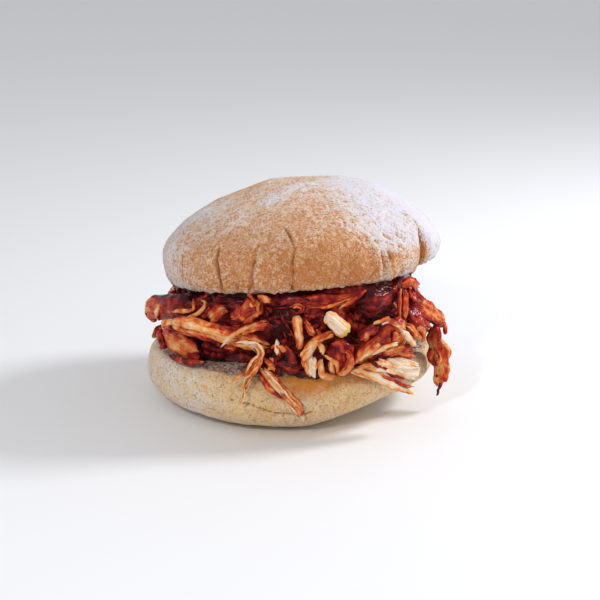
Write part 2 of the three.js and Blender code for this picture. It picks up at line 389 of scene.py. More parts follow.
def makeCrust(name, look):
    material, tree, shader = startMaterial(name)
    where = addNode(tree, "ShaderNodeTexCoord").outputs["Object"]
    swings = {}
    for key, shape in bread["patterns"].items():
        swings[key] = swing(tree, speckle(tree, where, *shape))
    wrinkles = swings["wrinkles"]
    swings["wrinkles"] = calc(tree, "MULTIPLY", wrinkles, look["leather"])
    spots = {key: speckle(tree, where, *shape) for key, shape in bread["spots"].items()}
    # short slanted strokes of white in the rough part of the crust: partly flour, partly painted
    # highlight on its ridges
    turned = addNode(tree, "ShaderNodeVectorRotate", {"Vector": where, "Axis": (0, 1, 0), "Angle": -0.8})
    inputs = {0: turned.outputs[0], 1: bread["strokes"]}
    drawn = addNode(tree, "ShaderNodeVectorMath", inputs, operation="MULTIPLY")
    strokes = speckle(tree, drawn.outputs[0], 1.0, 2, 0.5)
    rough = field(tree, "rough")
    brownness = stirIn(tree, field(tree, "brown"), swings, bread["browning"])
    colour = coat(tree, look["tan"], brownness, (look["brown"], *bread["browned"]))
    colour = coat(tree, colour, spots["golden"], bread["golden"])
    # painted shade in the creases, the fold and the cracks, then in the wrinkles
    colour = coat(tree, colour, field(tree, "crease"), bread["crease"])
    colour = coat(tree, colour, wrinkles, bread["wrinkle"], look["leather"])
    # flour lies as grains: dense where the field is high, single specks where it is low; the field also
    # holds the painted highlight of the top and the right side
    dust = stirIn(tree, 0, swings, bread["dusting"])
    dust = calc(tree, "MULTIPLY", dust, look["contrast"])
    drift = stirIn(tree, field(tree, "flour"), swings, bread["drifting"])
    slanted = calc(tree, "MULTIPLY", rough, swing(tree, strokes, 1.4))
    dust = calc(tree, "ADD", calc(tree, "ADD", dust, drift), slanted)
    white = ramp(tree, between(tree, drift, -0.5, 1.3), bread["flour"])
    colour = coat(tree, colour, dust, (white, *bread["floured"]))
    colour = coat(tree, colour, spots["bran"], bread["bran"], look["bran"])
    # the orange stain is blotchy, and lies only where the field is above zero
    soak = field(tree, "stain")
    soaked = stirIn(tree, soak, swings, bread["staining"])
    blots = stirIn(tree, 0, swings, bread["blotting"])
    stain = calc(tree, "ADD", soak, calc(tree, "MULTIPLY", blots, between(tree, soak, 0.0, 0.35)))
    colour = coat(tree, colour, stain, bread["stain"])
    redStain = stirIn(tree, field(tree, "redStain"), swings, bread["spotting"])
    colour = coat(tree, colour, redStain, bread["redStain"])
    # torn crumb on the cut faces
    crumbColour = coat(tree, bread["crumbPore"], spots["pores"], bread["crumb"])
    crumbColour = coat(tree, crumbColour, soaked, bread["saucedCrumb"])
    colour = blend(tree, field(tree, "crumb"), colour, crumbColour)
    torn = calc(tree, "MULTIPLY", calc(tree, "MULTIPLY", rough, strokes), 1.2)
    finishMaterial(tree, shader, bread, colour, stirIn(tree, torn, swings, bread["relief"]))
    return material


def quarter(start, end, power, steps, levelFirst):
    # a quarter of a superellipse from start to end, leaving the start level or upright
    points = []
    for i in range(1, steps + 1):
        t = i / steps * math.pi / 2
        fast = math.sin(t) ** (2 / power)
        slow = 1 - max(0.0, math.cos(t)) ** (2 / power)
        across, up = (fast, slow) if levelFirst else (slow, fast)
        points.append((start[0] + (end[0] - start[0]) * across, start[1] + (end[1] - start[1]) * up))
    return points


def straight(start, end, steps):
    return [
        (start[0] + (end[0] - start[0]) * i / steps, start[1] + (end[1] - start[1]) * i / steps)
        for i in range(1, steps + 1)
    ]


def spinProfile(name, profile, steps):
    # one vertex is drawn out along the profile, then spun about the upright axis
    deselectAll()
    bpy.ops.mesh.primitive_plane_add(size=0.001, location=(0, 0, 0))
    piece = bpy.context.object
    piece.name = name
    bpy.ops.object.mode_set(mode="EDIT")
    bpy.ops.mesh.select_mode(type="VERT")
    bpy.ops.mesh.select_all(action="SELECT")
    bpy.ops.mesh.merge(type="CENTER")
    here = Vector((profile[0][0], 0, profile[0][1]))
    bpy.ops.transform.translate(value=here)
    for radius, height in profile[1:]:
        there = Vector((radius, 0, height))
        bpy.ops.mesh.extrude_region_move(TRANSFORM_OT_translate={"value": there - here})
        here = there
    bpy.ops.mesh.select_all(action="SELECT")
    bpy.ops.mesh.spin(steps=steps, angle=math.tau, center=(0, 0, 0), axis=(0, 0, 1))
    bpy.ops.mesh.select_all(action="SELECT")
    bpy.ops.mesh.remove_doubles(threshold=1e-6)
    bpy.ops.mesh.normals_make_consistent(inside=False)
    bpy.ops.object.mode_set(mode="OBJECT")
    bpy.ops.object.shade_smooth()
    return piece


# crown of the bun

crown = {
    "radius": 0.0515,
    "rimRadius": 0.0484,
    "bulgeHeight": 0.0085,
    "domeHeight": 0.0255,
    "fullness": 2.15,
    "uneven": 0.0009,
    "domeUneven": 0.0006,
    "centre": Vector((0.0041, 0.0005, 0.0475)),
    "roll": -4.1,
    "pitch": -6,
    "steps": 600,
    # where a shoulder falls away: angle, spread, drop, and the radii and heights where it sets in
    "slumps": [
        (190, 62, 0.0033, (0.006, 0.034), (0.009, 0.022)),
        (-1.4, 20, 0.0035, (0.024, 0.044), (0.004, 0.020)),
    ],
    "lobe": {
        "angle": 4, "out": 0.0014, "spread": 25.5,
        "height": 0.0021, "reach": 0.0064, "lift": 0.0044,
    },
    # angle, depth, width and reach of each soft furrow; those at the back have a fine line in them too
    "furrows": [
        (-147, 0.0008, 0.0022, 0.012),
        (-124, 0.0016, 0.0024, 0.018),
        (-117, 0.0009, 0.0020, 0.009),
        (-109, 0.0010, 0.0022, 0.017),
        (-93, 0.0017, 0.0024, 0.022),
        (-82, 0.0007, 0.0024, 0.012),
        (-70, 0.0008, 0.0022, 0.014),
        (-61, 0.0011, 0.0022, 0.018),
        (-54, 0.0015, 0.0024, 0.020),
        (-45, 0.0010, 0.0022, 0.010),
    ],
    "backFurrows": [
        (38, 0.0012, 0.0026, 0.015),
        (62, 0.0009, 0.0024, 0.018),
        (84, 0.0015, 0.0026, 0.014),
        (109, 0.0009, 0.0024, 0.019),
        (131, 0.0013, 0.0026, 0.016),
        (158, 0.0010, 0.0024, 0.012),
        (183, 0.0012, 0.0024, 0.017),
    ],
    "fold": {"angle": -29, "depth": 0.0042, "width": 0.0042, "reach": 0.020, "ripple": 0.0009},
    "furrowLine": {"depth": 0.0008, "width": 0.00055},
    # where the rough part is: up the slope, towards the front, above one height and below another
    "roughPart": {
        "slope": (0.004, 0.026), "facing": (0.0, 0.03), "above": (0.009, 0.016),
        "below": (0.027, 0.033), "depth": 0.0007,
    },
    # height, size and seed of the soft dents; the ridged wrinkles are also stretched upwards
    "dents": [(0.00045, 0.013, 1), (0.00026, 0.0062, 2), (0.00013, 0.0017, 4), (0.00007, 0.0009, 9)],
    "wrinkles": [(0.00022, 0.0042, 3, 0.6), (0.00014, 0.0022, 12, 0.7)],
    "torn": [(0.0005, 0.0021, 5), (0.0003, 0.0009, 6)],
    # angle and spread of the places that the browning and the flour speak of; the right side's flour is
    # partly painted highlight, and the edge beside the fold gets a painted highlight
    "places": {"front": (-84, 48), "right": (-25, 60), "left": (-170, 34), "tip": (-41, 5)},
    # how much browner and how much more floured the crust is in each place; the lines and the fold get
    # painted shade, the ridges and the edge beside the fold get painted highlight
    "browning": {
        "band": 0.25, "frontBand": 0.55, "uneven": 0.12, "lines": 0.4, "fold": 0.8, "lip": 0.7,
    },
    "flouring": {
        "all": 0.24, "top": 0.24, "drift": 0.95, "left": 0.60, "patch": 0.46, "ridges": 0.45,
        "lines": -1.1, "lobe": 0.95, "lip": 0.22, "fold": -0.7, "band": -0.18, "tip": 0.6,
    },
    # the streak of flour on top: two ends, and how far from it the flour is full and gone
    "patch": {"line": [(-0.0080, -0.0260, 0.0298), (0.0034, -0.0160, 0.0328)], "fade": (0.0010, 0.0070)},
    # height, size and seed of the drifts of flour round the back
    "drifts": [(1.0, 0.011, 33), (0.6, 0.0045, 34)],
    # where sauce has touched the rim: how far out, then the angle and size of each spot
    "redSpotsAt": 0.0486,
    "redSpots": [(-108, 0.0016), (-103.5, 0.0010), (-37, 0.0014)],
    # the crust: its two browns, the bran in it, how sharply the flour stands out and how wrinkled it is
    "tan": (0.63, 0.300, 0.142),
    "brown": (0.54, 0.180, 0.042),
    "bran": 0.35,
    "contrast": 0.95,
    "leather": 1.5,
}
# fine lines in the crust, in millimetres from the middle of the crown's cut face: depth, half width and
# points that each runs through; a negative depth stands out
crustLines = [
    (1.35, 0.50, [(-26.2, -42.0, 19.0), (-27.4, -42.2, 14.6), (-27.7, -42.7, 10.1),
                  (-27.4, -42.2, 4.8), (-27.0, -41.1, 1.0)]),
    (1.45, 0.48, [(-3.6, -45.6, 21.2), (-2.5, -47.7, 18.4), (-1.7, -50.1, 13.9),
                  (-2.6, -50.6, 10.5), (-2.2, -50.4, 7.5), (-3.0, -49.4, 4.0), (-2.8, -48.6, 1.0)]),
    (0.70, 0.50, [(-13.6, -47.6, 16.2), (-15.0, -49.1, 11.2), (-16.5, -48.0, 4.9),
                  (-17.5, -46.6, 1.3)]),
    (-0.35, 0.90, [(-12.6, -48.2, 15.5), (-14.0, -49.5, 10.5), (-15.3, -48.6, 4.9)]),
    (0.75, 0.50, [(-40.6, -31.4, 12.0), (-41.4, -30.8, 5.7), (-41.0, -27.8, 1.2)]),
    (0.90, 0.45, [(-20.2, -47.4, 8.0), (-21.7, -45.0, 1.3)]),
    (-0.45, 0.80, [(24.6, -42.8, 16.2), (26.1, -42.9, 12.9), (27.2, -42.4, 9.3), (27.7, -41.8, 5.0),
                   (27.2, -40.6, 1.3)]),
    (0.50, 0.50, [(26.6, -41.9, 15.0), (28.2, -41.6, 10.5), (29.1, -40.6, 5.5),
                  (29.0, -39.8, 1.5)]),
    (-0.55, 0.85, [(27.6, -40.5, 16.4), (29.2, -40.6, 12.4), (30.1, -40.1, 8.7), (30.5, -39.2, 4.4),
                   (30.6, -37.9, 0.9)]),
    (0.50, 0.80, [(31.0, -39.4, 10.0), (31.9, -38.6, 6.0), (32.3, -37.0, 1.8)]),
    (0.95, 0.45, [(15.6, -42.2, 21.4), (16.5, -44.9, 18.4)]),
    (0.55, 0.55, [(29.6, -38.8, 16.0), (31.5, -38.6, 14.0), (33.9, -37.5, 12.3),
                  (36.3, -35.5, 9.7)]),
    (0.50, 0.60, [(32.4, -35.9, 17.2), (33.9, -35.9, 15.6), (36.9, -34.6, 12.4)]),
    (0.45, 0.50, [(25.4, -38.3, 20.6), (27.7, -38.4, 18.8), (29.4, -38.0, 17.4)]),
    (0.90, 0.60, [(37.6, -25.0, 21.6), (39.8, -24.1, 19.5), (41.8, -23.3, 17.1),
                  (42.8, -23.1, 14.0), (43.1, -22.4, 11.0)]),
    (0.40, 0.60, [(0.2, -5.3, 33.8), (2.4, -10.6, 33.5), (4.4, -17.2, 32.6)]),
    (0.30, 0.50, [(4.4, -17.2, 32.6), (-1.4, -23.5, 31.2), (-8.5, -28.5, 29.2)]),
]
crownMatrix = (
    Matrix.Translation(crown["centre"])
    @ Matrix.Rotation(math.radians(crown["pitch"]), 4, "X")
    @ Matrix.Rotation(math.radians(crown["roll"]), 4, "Y")
)


def moveBy(points, matrix):
    turn = np.array(matrix.to_3x3())
    return points @ turn.T + np.array(matrix.translation)


def placeCrown(points):
    # the dome's unevenness, its furrows, the deep fold and the lobe behind it
    angle, radius, height = polar(points)
    side = ease(radius, 0.012, crown["rimRadius"])
    out = side * crown["uneven"] * wander(angle, 4)
    up = side * crown["domeUneven"] * ease(height, 0.004, 0.02) * wander(angle, 5)
    for at, wide, drop, radii, heights in crown["slumps"]:
        facing = near(angle, at, wide)
        up -= drop * ease(radius, *radii) * ease(height, *heights) * facing
    for k, (at, depth, width, reach) in enumerate(crown["furrows"] + crown["backFurrows"]):
        sway = 0.0005 * np.sin(height * 420 + 2.1 * k)
        across = turnBetween(angle, math.radians(at)) * radius + sway
        out -= side * depth * 0.85 * bell(across / width) * (1 - ease(height, reach * 0.35, reach))
    fold = crown["fold"]
    across = turnBetween(angle, math.radians(fold["angle"])) * radius
    steep = np.where(across < 0, 0.62, 1.25) * fold["width"]
    inFold = bell(across / steep) * (1 - ease(height, fold["reach"] * 0.35, fold["reach"]))
    out -= side * inFold * (fold["depth"] + fold["ripple"] * np.sin(across * 2600))
    lobe = crown["lobe"]
    beside = near(angle, lobe["angle"], lobe["spread"])
    out += side * lobe["out"] * beside * bell((height - lobe["height"]) / lobe["reach"])
    up += lobe["lift"] * beside * ease(radius, 0.038, 0.05) * (1 - ease(height, 0, 0.012))
    radius = radius + out
    return np.stack([radius * np.cos(angle), radius * np.sin(angle), height + up], axis=1), inFold


def drawCrustLines(points, angle, radius, height):
    # the fine lines: how far they move the crust, how much painted shade they put in their grooves, and
    # how much painted highlight on the ridges beside them
    move, shade, light = np.zeros((3, len(points)))
    wavy = addLumps(addLumps(points, 0.0011, 0.0052, 22), 0.0004, 0.0019, 25)
    patchy = 0.9 + 0.6 * softNoise(points, 0.0040, 28)
    for depth, width, line in crustLines:
        away = nearLine(wavy, np.array(line) * mm) / (width * mm)
        move -= depth * mm * bell(away) * patchy
        if depth > 0:
            shade += min(depth, 0.9) * bell(away * 0.8) * patchy
            move += 0.2 * depth * mm * bell(away / 1.6 - 1.5)
            light += 0.32 * bell(away / 1.4 - 1.6)
        else:
            light += 0.55 * bell(away)
    line = crown["furrowLine"]
    for k, (at, depth, _, reach) in enumerate(crown["backFurrows"]):
        sway = 0.0006 * np.sin(height * 500 + 2.1 * k) + 0.0003 * np.sin(height * 1500 + k)
        away = (turnBetween(angle, math.radians(at)) * radius + sway) / line["width"]
        cut = (1 - ease(height, reach * 0.6, reach)) * min(1, depth / 0.0012)
        move -= line["depth"] * bell(away) * cut
        shade += bell(away) * cut
    return move, shade, light


def findRoughPart(points, height):
    # the rough, deeply floured part at the upper right; the slope runs up towards it
    part = crown["roughPart"]
    slope = 0.9 * points[:, 0] + 0.6 * points[:, 2]
    rough = ease(slope, *part["slope"]) * ease(-points[:, 1], *part["facing"])
    rough *= ease(height, *part["above"]) * (1 - ease(height, *part["below"]))
    return rough, slope


def bakeCrown(piece, points, start, crumb, rough, slope, inFold, shade, light):
    # where the crust is baked darker, floured or stained, with painted shade in its lines and fold
    angle, radius, height = polar(start)
    crust = 1 - crumb
    outer = ease(radius, 0.02, 0.044)
    band = 1 - ease(height, 0.009, 0.024)
    places = {name: near(angle, *place) for name, place in crown["places"].items()}
    brown = weigh(
        crown["browning"],
        band=band,
        frontBand=band * places["front"],
        uneven=wander(angle, 9),
        # painted shade in the lines and the fold
        lines=shade,
        fold=inFold,
        lip=places["front"] * bell((height - 0.0045) / 0.0035),
    )
    behind = ease(points[:, 1], -0.012, 0.006)
    # the upper right side is whitened, partly with flour and partly with painted highlight
    drift = ease(slope, 0.021, 0.043) * ease(height, 0.006, 0.014)
    drift *= 0.5 + 0.5 * places["right"]
    drift *= 1 + behind * (dents(points, crown["drifts"]) - 0.34)
    onLobe = ease(turnBetween(angle, math.radians(-26)), 0, 0.10)
    onLobe *= 1 - ease(turnBetween(angle, math.radians(16)), 0, 0.8)
    lobeDrift = 1 + behind * (0.9 * softNoise(points, 0.0050, 35) - 0.30)
    patch = nearLine(points, crown["patch"]["line"]) + 0.0030 * softNoise(points, 0.004, 21)
    flour = weigh(
        crown["flouring"],
        all=1,
        # the top, the right side and the lobe are whitened partly with painted highlight
        top=ease(height, 0.015, 0.031),
        drift=drift,
        left=places["left"] * outer,
        patch=1 - ease(patch, *crown["patch"]["fade"]),
        # painted highlight on the ridges, painted shade in the grooves
        ridges=light,
        lines=shade,
        lobe=onLobe * outer * lobeDrift,
        lip=bell((height - 0.0009) / 0.0010) * crust,
        # painted shade in the fold
        fold=inFold * (1 - 0.6 * onLobe),
        band=band * places["front"],
        # painted highlight on the rounded edge beside the fold
        tip=places["tip"] * (1 - ease(height, 0.004, 0.014)) * crust,
    )
    redStain = np.zeros(len(points))
    for at, size in crown["redSpots"]:
        spot = crown["redSpotsAt"] * np.array([math.cos(math.radians(at)), math.sin(math.radians(at)), 0])
        redStain += 0.9 * bell(np.linalg.norm(points - spot, axis=1) / size)
    fromFold = turnBetween(angle, math.radians(crown["fold"]["angle"]))
    streaks = 0.5 + 0.5 * np.sin(fromFold * radius * 3600 + 1.2)
    setFields(
        piece,
        brown=brown,
        flour=flour,
        # painted shade in the lines and in the fold, streaked
        crease=shade + inFold * (0.15 + 0.75 * streaks**3),
        rough=rough,
        crumb=np.clip(crumb + 0.35 * bell(height / 0.0004) * crust, 0, 1),
        stain=0.5 * crumb * ease(radius, 0.040, crown["rimRadius"]),
        redStain=redStain,
    )


def makeCrown():
    rim = (crown["rimRadius"], 0)
    widest = (crown["radius"], crown["bulgeHeight"])
    top = (0, crown["bulgeHeight"] + crown["domeHeight"])
    profile = [(0, 0)] + straight((0, 0), (0.038, 0), 6) + straight((0.038, 0), rim, 16)
    profile += quarter(rim, widest, 2, 18, True)
    profile += quarter(widest, top, crown["fullness"], 80, False)
    profile[-1] = top
    piece = spinProfile("crownCrust", profile, crown["steps"])
    start = getPoints(piece)
    points, inFold = placeCrown(start)
    setPoints(piece, points)
    normals = getNormals(piece)
    angle, radius, height = polar(start)
    crumb = (height < 1e-5) * 1.0
    crust = 1 - crumb
    rough, slope = findRoughPart(points, height)
    # leathery crust: soft dents, wrinkles, a fine grain and slanted cuts in the rough part
    swell = dents(points, crown["dents"])
    for depth, size, seed, stretch in crown["wrinkles"]:
        swell += depth * (0.3 - np.abs(softNoise(points * [1, 1, stretch], size, seed)))
    slanted = points @ np.array([[0.5, 0.3, 1.0], [0.2, 1.0, 0.3], [-0.5, 0.3, 1.0]]).T
    cuts = np.clip(softNoise(slanted * [0.45, 1, 1], 0.0034, 7), 0, 1)
    swell -= crown["roughPart"]["depth"] * rough * cuts
    lineMove, shade, light = drawCrustLines(points, angle, radius, height)
    swell += lineMove
    # torn crumb on the cut face and a ragged edge
    torn = dents(points, crown["torn"])
    edge = bell(height / 0.0011) * ease(radius, 0.046, 0.0482)
    move = crust * swell + (crumb + crust * edge * 0.7) * torn
    points = points + normals * move[:, None]
    ragged = softNoise(points, 0.0014, 8) + 0.6 * softNoise(points, 0.0032, 10)
    points[:, 2] -= edge * 0.0005 * np.clip(ragged, -0.4, 1)
    bakeCrown(piece, points, start, crumb, rough, slope, inFold, shade, light)
    setPoints(piece, moveBy(points, crownMatrix))
    return piece


crownPiece = makeCrown()
crownCrust = makeCrust("crownCrust", crown)
crownPiece.data.materials.append(crownCrust)
print("the crown is baked")


# heel of the bun

heel = {
    "radius": 0.0528,
    "baseRadius": 0.030,
    "bulgeHeight": 0.0116,
    "rimRadius": 0.0493,
    "rimHeight": 0.0201,
    "fullness": 2.3,
    "tilt": 2.8,
    "dish": 0.0009,
    "uneven": 0.0009,
    "rimUneven": 0.0006,
    "tuck": {"angle": -18, "rise": 0.0068},
    "steps": 520,
    # hairline cracks low on the crust, in millimetres
    "cracks": [
        [(-20.5, -48.6, 13.6), (-18.9, -49.2, 13.2), (-13.7, -50.8, 12.5), (-9.5, -51.5, 11.3),
         (-5.0, -51.9, 9.6), (0.2, -51.9, 9.5), (5.4, -51.5, 9.2), (9.0, -50.8, 9.9)],
        [(-6.0, -51.8, 11.6), (-2.0, -52.0, 11.0), (3.0, -51.9, 11.4)],
        [(-30.0, -43.0, 8.4), (-24.5, -46.4, 7.6), (-20.0, -48.4, 8.0)],
        [(49.0, 16.0, 7.0), (46.0, 24.0, 6.2), (41.0, 32.0, 6.6)],
        [(-4.0, 52.0, 8.0), (-14.0, 50.0, 7.0), (-24.0, 46.0, 7.6)],
        [(-51.0, 6.0, 6.6), (-51.5, -4.0, 6.0), (-49.5, -14.0, 6.8)],
    ],
    # the sauce that the drape leaves beside it
    "redMarks": [(-9.8, -49.9, 21.4), (-6.7, -51.5, 18.8), (-3.2, -52.2, 16.1), (-1.1, -52.3, 15.1)],
    # where sauce has soaked into the rim: strength, angle, spread and the heights between which it grows
    "stains": [
        (1.35, -81, 20, (0.0106, 0.0190)),
        (0.85, -60, 10, (0.0120, 0.0196)),
        (0.60, -116, 14, (0.0120, 0.0196)),
        (0.70, 48, 16, (0.0120, 0.0196)),
        (0.75, 142, 20, (0.0120, 0.0196)),
    ],
    # height, size and seed of the dents in the crust and of the torn cut face
    "dents": [(0.00035, 0.011, 11), (0.00020, 0.0050, 12), (0.00008, 0.0018, 13)],
    "torn": [(0.0007, 0.0034, 14), (0.0005, 0.0014, 15)],
    # how much browner and how much more floured the crust is in each place; the cracks get painted shade
    "browning": {"all": 0.15, "front": 0.25, "uneven": 0.1, "rim": 0.25, "cracks": 0.6},
    "flouring": {"all": 0.20, "left": 0.55, "right": 0.25, "uneven": -0.1, "foot": 0.15, "cracks": -0.4},
    # the crust: its two browns, the bran in it, how sharply the flour stands out and how wrinkled it is
    "tan": (0.80, 0.585, 0.285),
    "brown": (0.69, 0.440, 0.155),
    "bran": 0.8,
    "contrast": 1.15,
    "leather": 1.2,
}


def heelTop(radius):
    return heel["rimHeight"] - heel["dish"] * (1 - np.minimum(1, radius / heel["rimRadius"]) ** 2)


def heelLift(y):
    return -y * math.tan(math.radians(heel["tilt"]))


def placeHeel(points):
    angle, radius, height = polar(points)
    outer = ease(radius, heel["baseRadius"], heel["rimRadius"])
    raised = ease(height, 0.002, heel["rimHeight"]) * ease(radius, 0.0453, heel["rimRadius"])
    facing = ease(np.cos(angle - math.radians(heel["tuck"]["angle"])), 0.43, 1)
    under = ease(radius, heel["baseRadius"] * 0.6, 0.046) * (1 - ease(height, 0, heel["rimHeight"]))
    out = outer * heel["uneven"] * wander(angle, 1)
    up = raised * heel["rimUneven"] * wander(angle, 2) + heel["tuck"]["rise"] * facing * under
    up += ease(height, 0.002, heel["rimHeight"] - heel["dish"]) * heelLift(points[:, 1])
    radius = radius + out
    return np.stack([radius * np.cos(angle), radius * np.sin(angle), height + up], axis=1)


def bakeHeel(piece, points, start, crumb, crack):
    # where the crust is baked darker, floured or stained, with painted shade in its cracks
    angle, _, height = polar(start)
    brown = weigh(
        heel["browning"],
        all=1,
        front=near(angle, -80, 36),
        uneven=wander(angle, 3),
        rim=ease(height, 0.0120, 0.0196) * (1 - crumb),
        # painted shade in the cracks
        cracks=crack,
    )
    flour = weigh(
        heel["flouring"],
        all=1,
        left=near(angle, -158, 40),
        right=near(angle, -20, 28),
        uneven=wander(angle, 6),
        foot=1 - ease(height, 0.002, 0.008),
        # painted shade: less flour in the cracks
        cracks=crack,
    )
    stain = np.zeros(len(points))
    for amount, at, spread, heights in heel["stains"]:
        stain += amount * ease(height, *heights) * near(angle, at, spread)
    stain = stain * (1 - crumb) + crumb * 0.35
    marks = nearLine(points, np.array(heel["redMarks"]) * mm)
    redStain = 0.95 * bell(marks / 0.0011) * (1 - crumb)
    setFields(
        piece,
        brown=brown,
        flour=flour,
        rough=0,
        # painted shade in the cracks
        crease=0.95 * crack,
        crumb=crumb,
        stain=stain,
        redStain=redStain,
    )


def makeHeel():
    base = (heel["baseRadius"], 0)
    widest = (heel["radius"], heel["bulgeHeight"])
    shoulder = (heel["rimRadius"], heel["rimHeight"])
    profile = [(0, 0)] + straight((0, 0), base, 6)
    profile += quarter(base, widest, heel["fullness"], 40, True)
    profile += quarter(widest, shoulder, heel["fullness"], 28, False)
    dish = [shoulder[0] - 0.02 * i / 28 for i in range(1, 29)] + [0.022, 0.012, 0]
    profile += [(radius, float(heelTop(radius))) for radius in dish]
    piece = spinProfile("heelCrust", profile, heel["steps"])
    start = getPoints(piece)
    points = placeHeel(start)
    setPoints(piece, points)
    normals = getNormals(piece)
    _, radius, height = polar(start)
    inside = (radius < heel["rimRadius"] - 1e-5) * (height > 0.012)
    crumb = inside * 1.0
    crust = (1 - crumb) * ease(radius, 0.025, 0.036)
    swell = dents(points, heel["dents"])
    crack = np.zeros(len(points))
    wavy = points + [[0, 0, 1]] * (0.0005 * softNoise(points, 0.0028, 18))[:, None]
    for line in heel["cracks"]:
        crack = np.maximum(crack, bell(nearLine(wavy, np.array(line) * mm) / 0.00032))
    swell -= 0.0009 * crack
    torn = dents(points, heel["torn"])
    torn -= 0.0006 * ease(softNoise(points, 0.0024, 16), 0.15, 0.5)
    edge = bell((height - heel["rimHeight"]) / 0.0009) * ease(radius, 0.0485, 0.0497)
    ragged = 0.00035 * softNoise(points, 0.0013, 17)
    move = crust * swell + crumb * torn + (1 - crumb) * edge * ragged
    points = points + normals * move[:, None]
    points[:, 2] = np.maximum(points[:, 2], 0)
    bakeHeel(piece, points, start, crumb, crack)
    setPoints(piece, points)
    return piece


heelPiece = makeHeel()
heelCrust = makeCrust("heelCrust", heel)
heelPiece.data.materials.append(heelCrust)
print("the heel is baked")


# chicken and sauce

meat = {
    # colour from bare meat to thick sauce; the darkest end is partly painted shade, the colour of the
    # gaps in shadow
    "stops": [
        (0.00, (0.86, 0.66, 0.48)),
        (0.16, (0.84, 0.45, 0.18)),
        (0.34, (0.76, 0.235, 0.052)),
        (0.50, (0.57, 0.072, 0.021)),
        (0.66, (0.34, 0.021, 0.016)),
        (0.84, (0.13, 0.009, 0.010)),
        (1.00, (0.042, 0.005, 0.006)),
    ],
    "roughness": [(0.0, (0.44,) * 3), (0.3, (0.27,) * 3), (0.65, (0.16,) * 3), (1.0, (0.15,) * 3)],
    "fat": (0.78, 0.50, 0.10),
    # how much each pattern adds to the sauce
    "covering": {"blotches": 0.38, "drops": 0.25, "fibres": 0.25},
    "bump": 0.55,
    "finish": {
        "Specular IOR Level": 0.20,
        "Specular Tint": (1.0, 0.62, 0.68, 1),
        "Subsurface Weight": 0.18,
        "Subsurface Radius": (1.0, 0.35, 0.2),
        "Subsurface Scale": 0.0016,
    },
}


def makeMeatMaterial():
    material, tree, shader = startMaterial("saucedChicken")
    where = addNode(tree, "ShaderNodeTexCoord").outputs["Object"]
    grain = field(tree, "grain", "Vector")
    fibres = speckle(tree, grain, 1.0, 3, 0.6)
    fineFibres = speckle(tree, grain, 2.3, 2, 0.5)
    blotches = speckle(tree, where, 210, 3, 0.6, 0.4)
    drops = speckle(tree, where, 620, 3, 0.6, 0.3)
    patterns = {"blotches": blotches, "drops": drops, "fibres": fibres}
    swings = {key: swing(tree, pattern) for key, pattern in patterns.items()}
    cover = stirIn(tree, field(tree, "sauce"), swings, meat["covering"])
    colour = ramp(tree, cover, meat["stops"])
    bare = calc(tree, "SUBTRACT", 1.0, between(tree, cover, 0.25, 0.7))
    fat = calc(tree, "ADD", field(tree, "fat"), calc(tree, "MULTIPLY", drops, 0.6))
    fat = calc(tree, "MULTIPLY", between(tree, fat, 0.7, 1.0), bare)
    colour = blend(tree, fat, colour, meat["fat"])
    light = calc(tree, "MULTIPLY_ADD", field(tree, "tone"), 0.3, 0.84)
    light = calc(tree, "ADD", light, swing(tree, fineFibres, 0.18))
    grey = addNode(tree, "ShaderNodeCombineColor", {0: light, 1: light, 2: light}).outputs[0]
    lit = blend(tree, 1.0, colour, grey, "MULTIPLY")
    colour = blend(tree, bare, colour, lit)
    tree.links.new(ramp(tree, cover, meat["roughness"]), shader.inputs["Roughness"])
    # fibres show in relief where the meat is bare, drops where it is sauced
    height = calc(tree, "ADD", fibres, calc(tree, "MULTIPLY", fineFibres, 0.5))
    height = calc(tree, "MULTIPLY", height, bare)
    height = calc(tree, "ADD", height, calc(tree, "MULTIPLY", drops, 0.9))
    finishMaterial(tree, shader, meat, colour, height)
    return material


meatMaterial = makeMeatMaterial()


# the heap that fills the bun; its outline is the one that the frame's solid has
heap = {
    "radius": 0.0465,
    "bulge": 0.0026,
    "lumps": 0.0024,
    "gap": 0.00035,
    "rimClearance": 0.0007,
    # angle, depth, spread in degrees and level of the places where it falls back
    "hollows": [(4, 0.0075, 32, 1), (-119, 0.009, 15, 0)],
    "hollowReach": 0.45,
    # its rough radius and height, by which shreds are laid on it
    "around": 0.048,
    "tall": 0.030,
}
crownUp = crownMatrix.to_3x3() @ Vector((0, 0, 1))


def heapRadius(angle, level):
    r = heap["radius"] + heap["bulge"] * (1 - (2 * level - 1) ** 2)
    ripple = 0.6 * np.sin(11 * angle + 7 * level) + 0.5 * np.sin(7 * angle - 9 * level)
    r = r + heap["lumps"] * (0.6 * wander(angle, 7) + 0.5 * ripple)
    for at, depth, spread, low in heap["hollows"]:
        beside = near(angle, at, spread)
        r = r - depth * beside * bell((level - low) / heap["hollowReach"])
    return r


def heapPoint(angle, level, inset=0.0, share=1.0):
    # a point of the heap at an angle round it and a level from the heel, 0, to the crown, 1
    r = (heapRadius(angle, level) - inset) * share
    x = r * np.cos(angle) + crown["centre"].x * level
    y = r * np.sin(angle) + crown["centre"].y * level
    low = heelTop(r) + heelLift(y) + heap["gap"] + heap["rimClearance"] * ease(r, 0.0433, 0.0473)
    slope = crownUp.x * (x - crown["centre"].x) + crownUp.y * (y - crown["centre"].y)
    high = crown["centre"].z - slope / crownUp.z - heap["gap"]
    return np.stack([x, y, low + (high - low) * level], axis=-1)


core = {
    "sides": 300, "rows": 56, "rings": 3, "inset": 0.0026,
    # the shreds in relief: how many, their length, half width and height, and how steeply they lie
    "strokes": 240, "long": (0.005, 0.014), "wide": (0.0007, 0.0024), "proud": (0.0005, 0.0022),
    "steep": 0.75, "around": 0.047, "seed": 21,
}


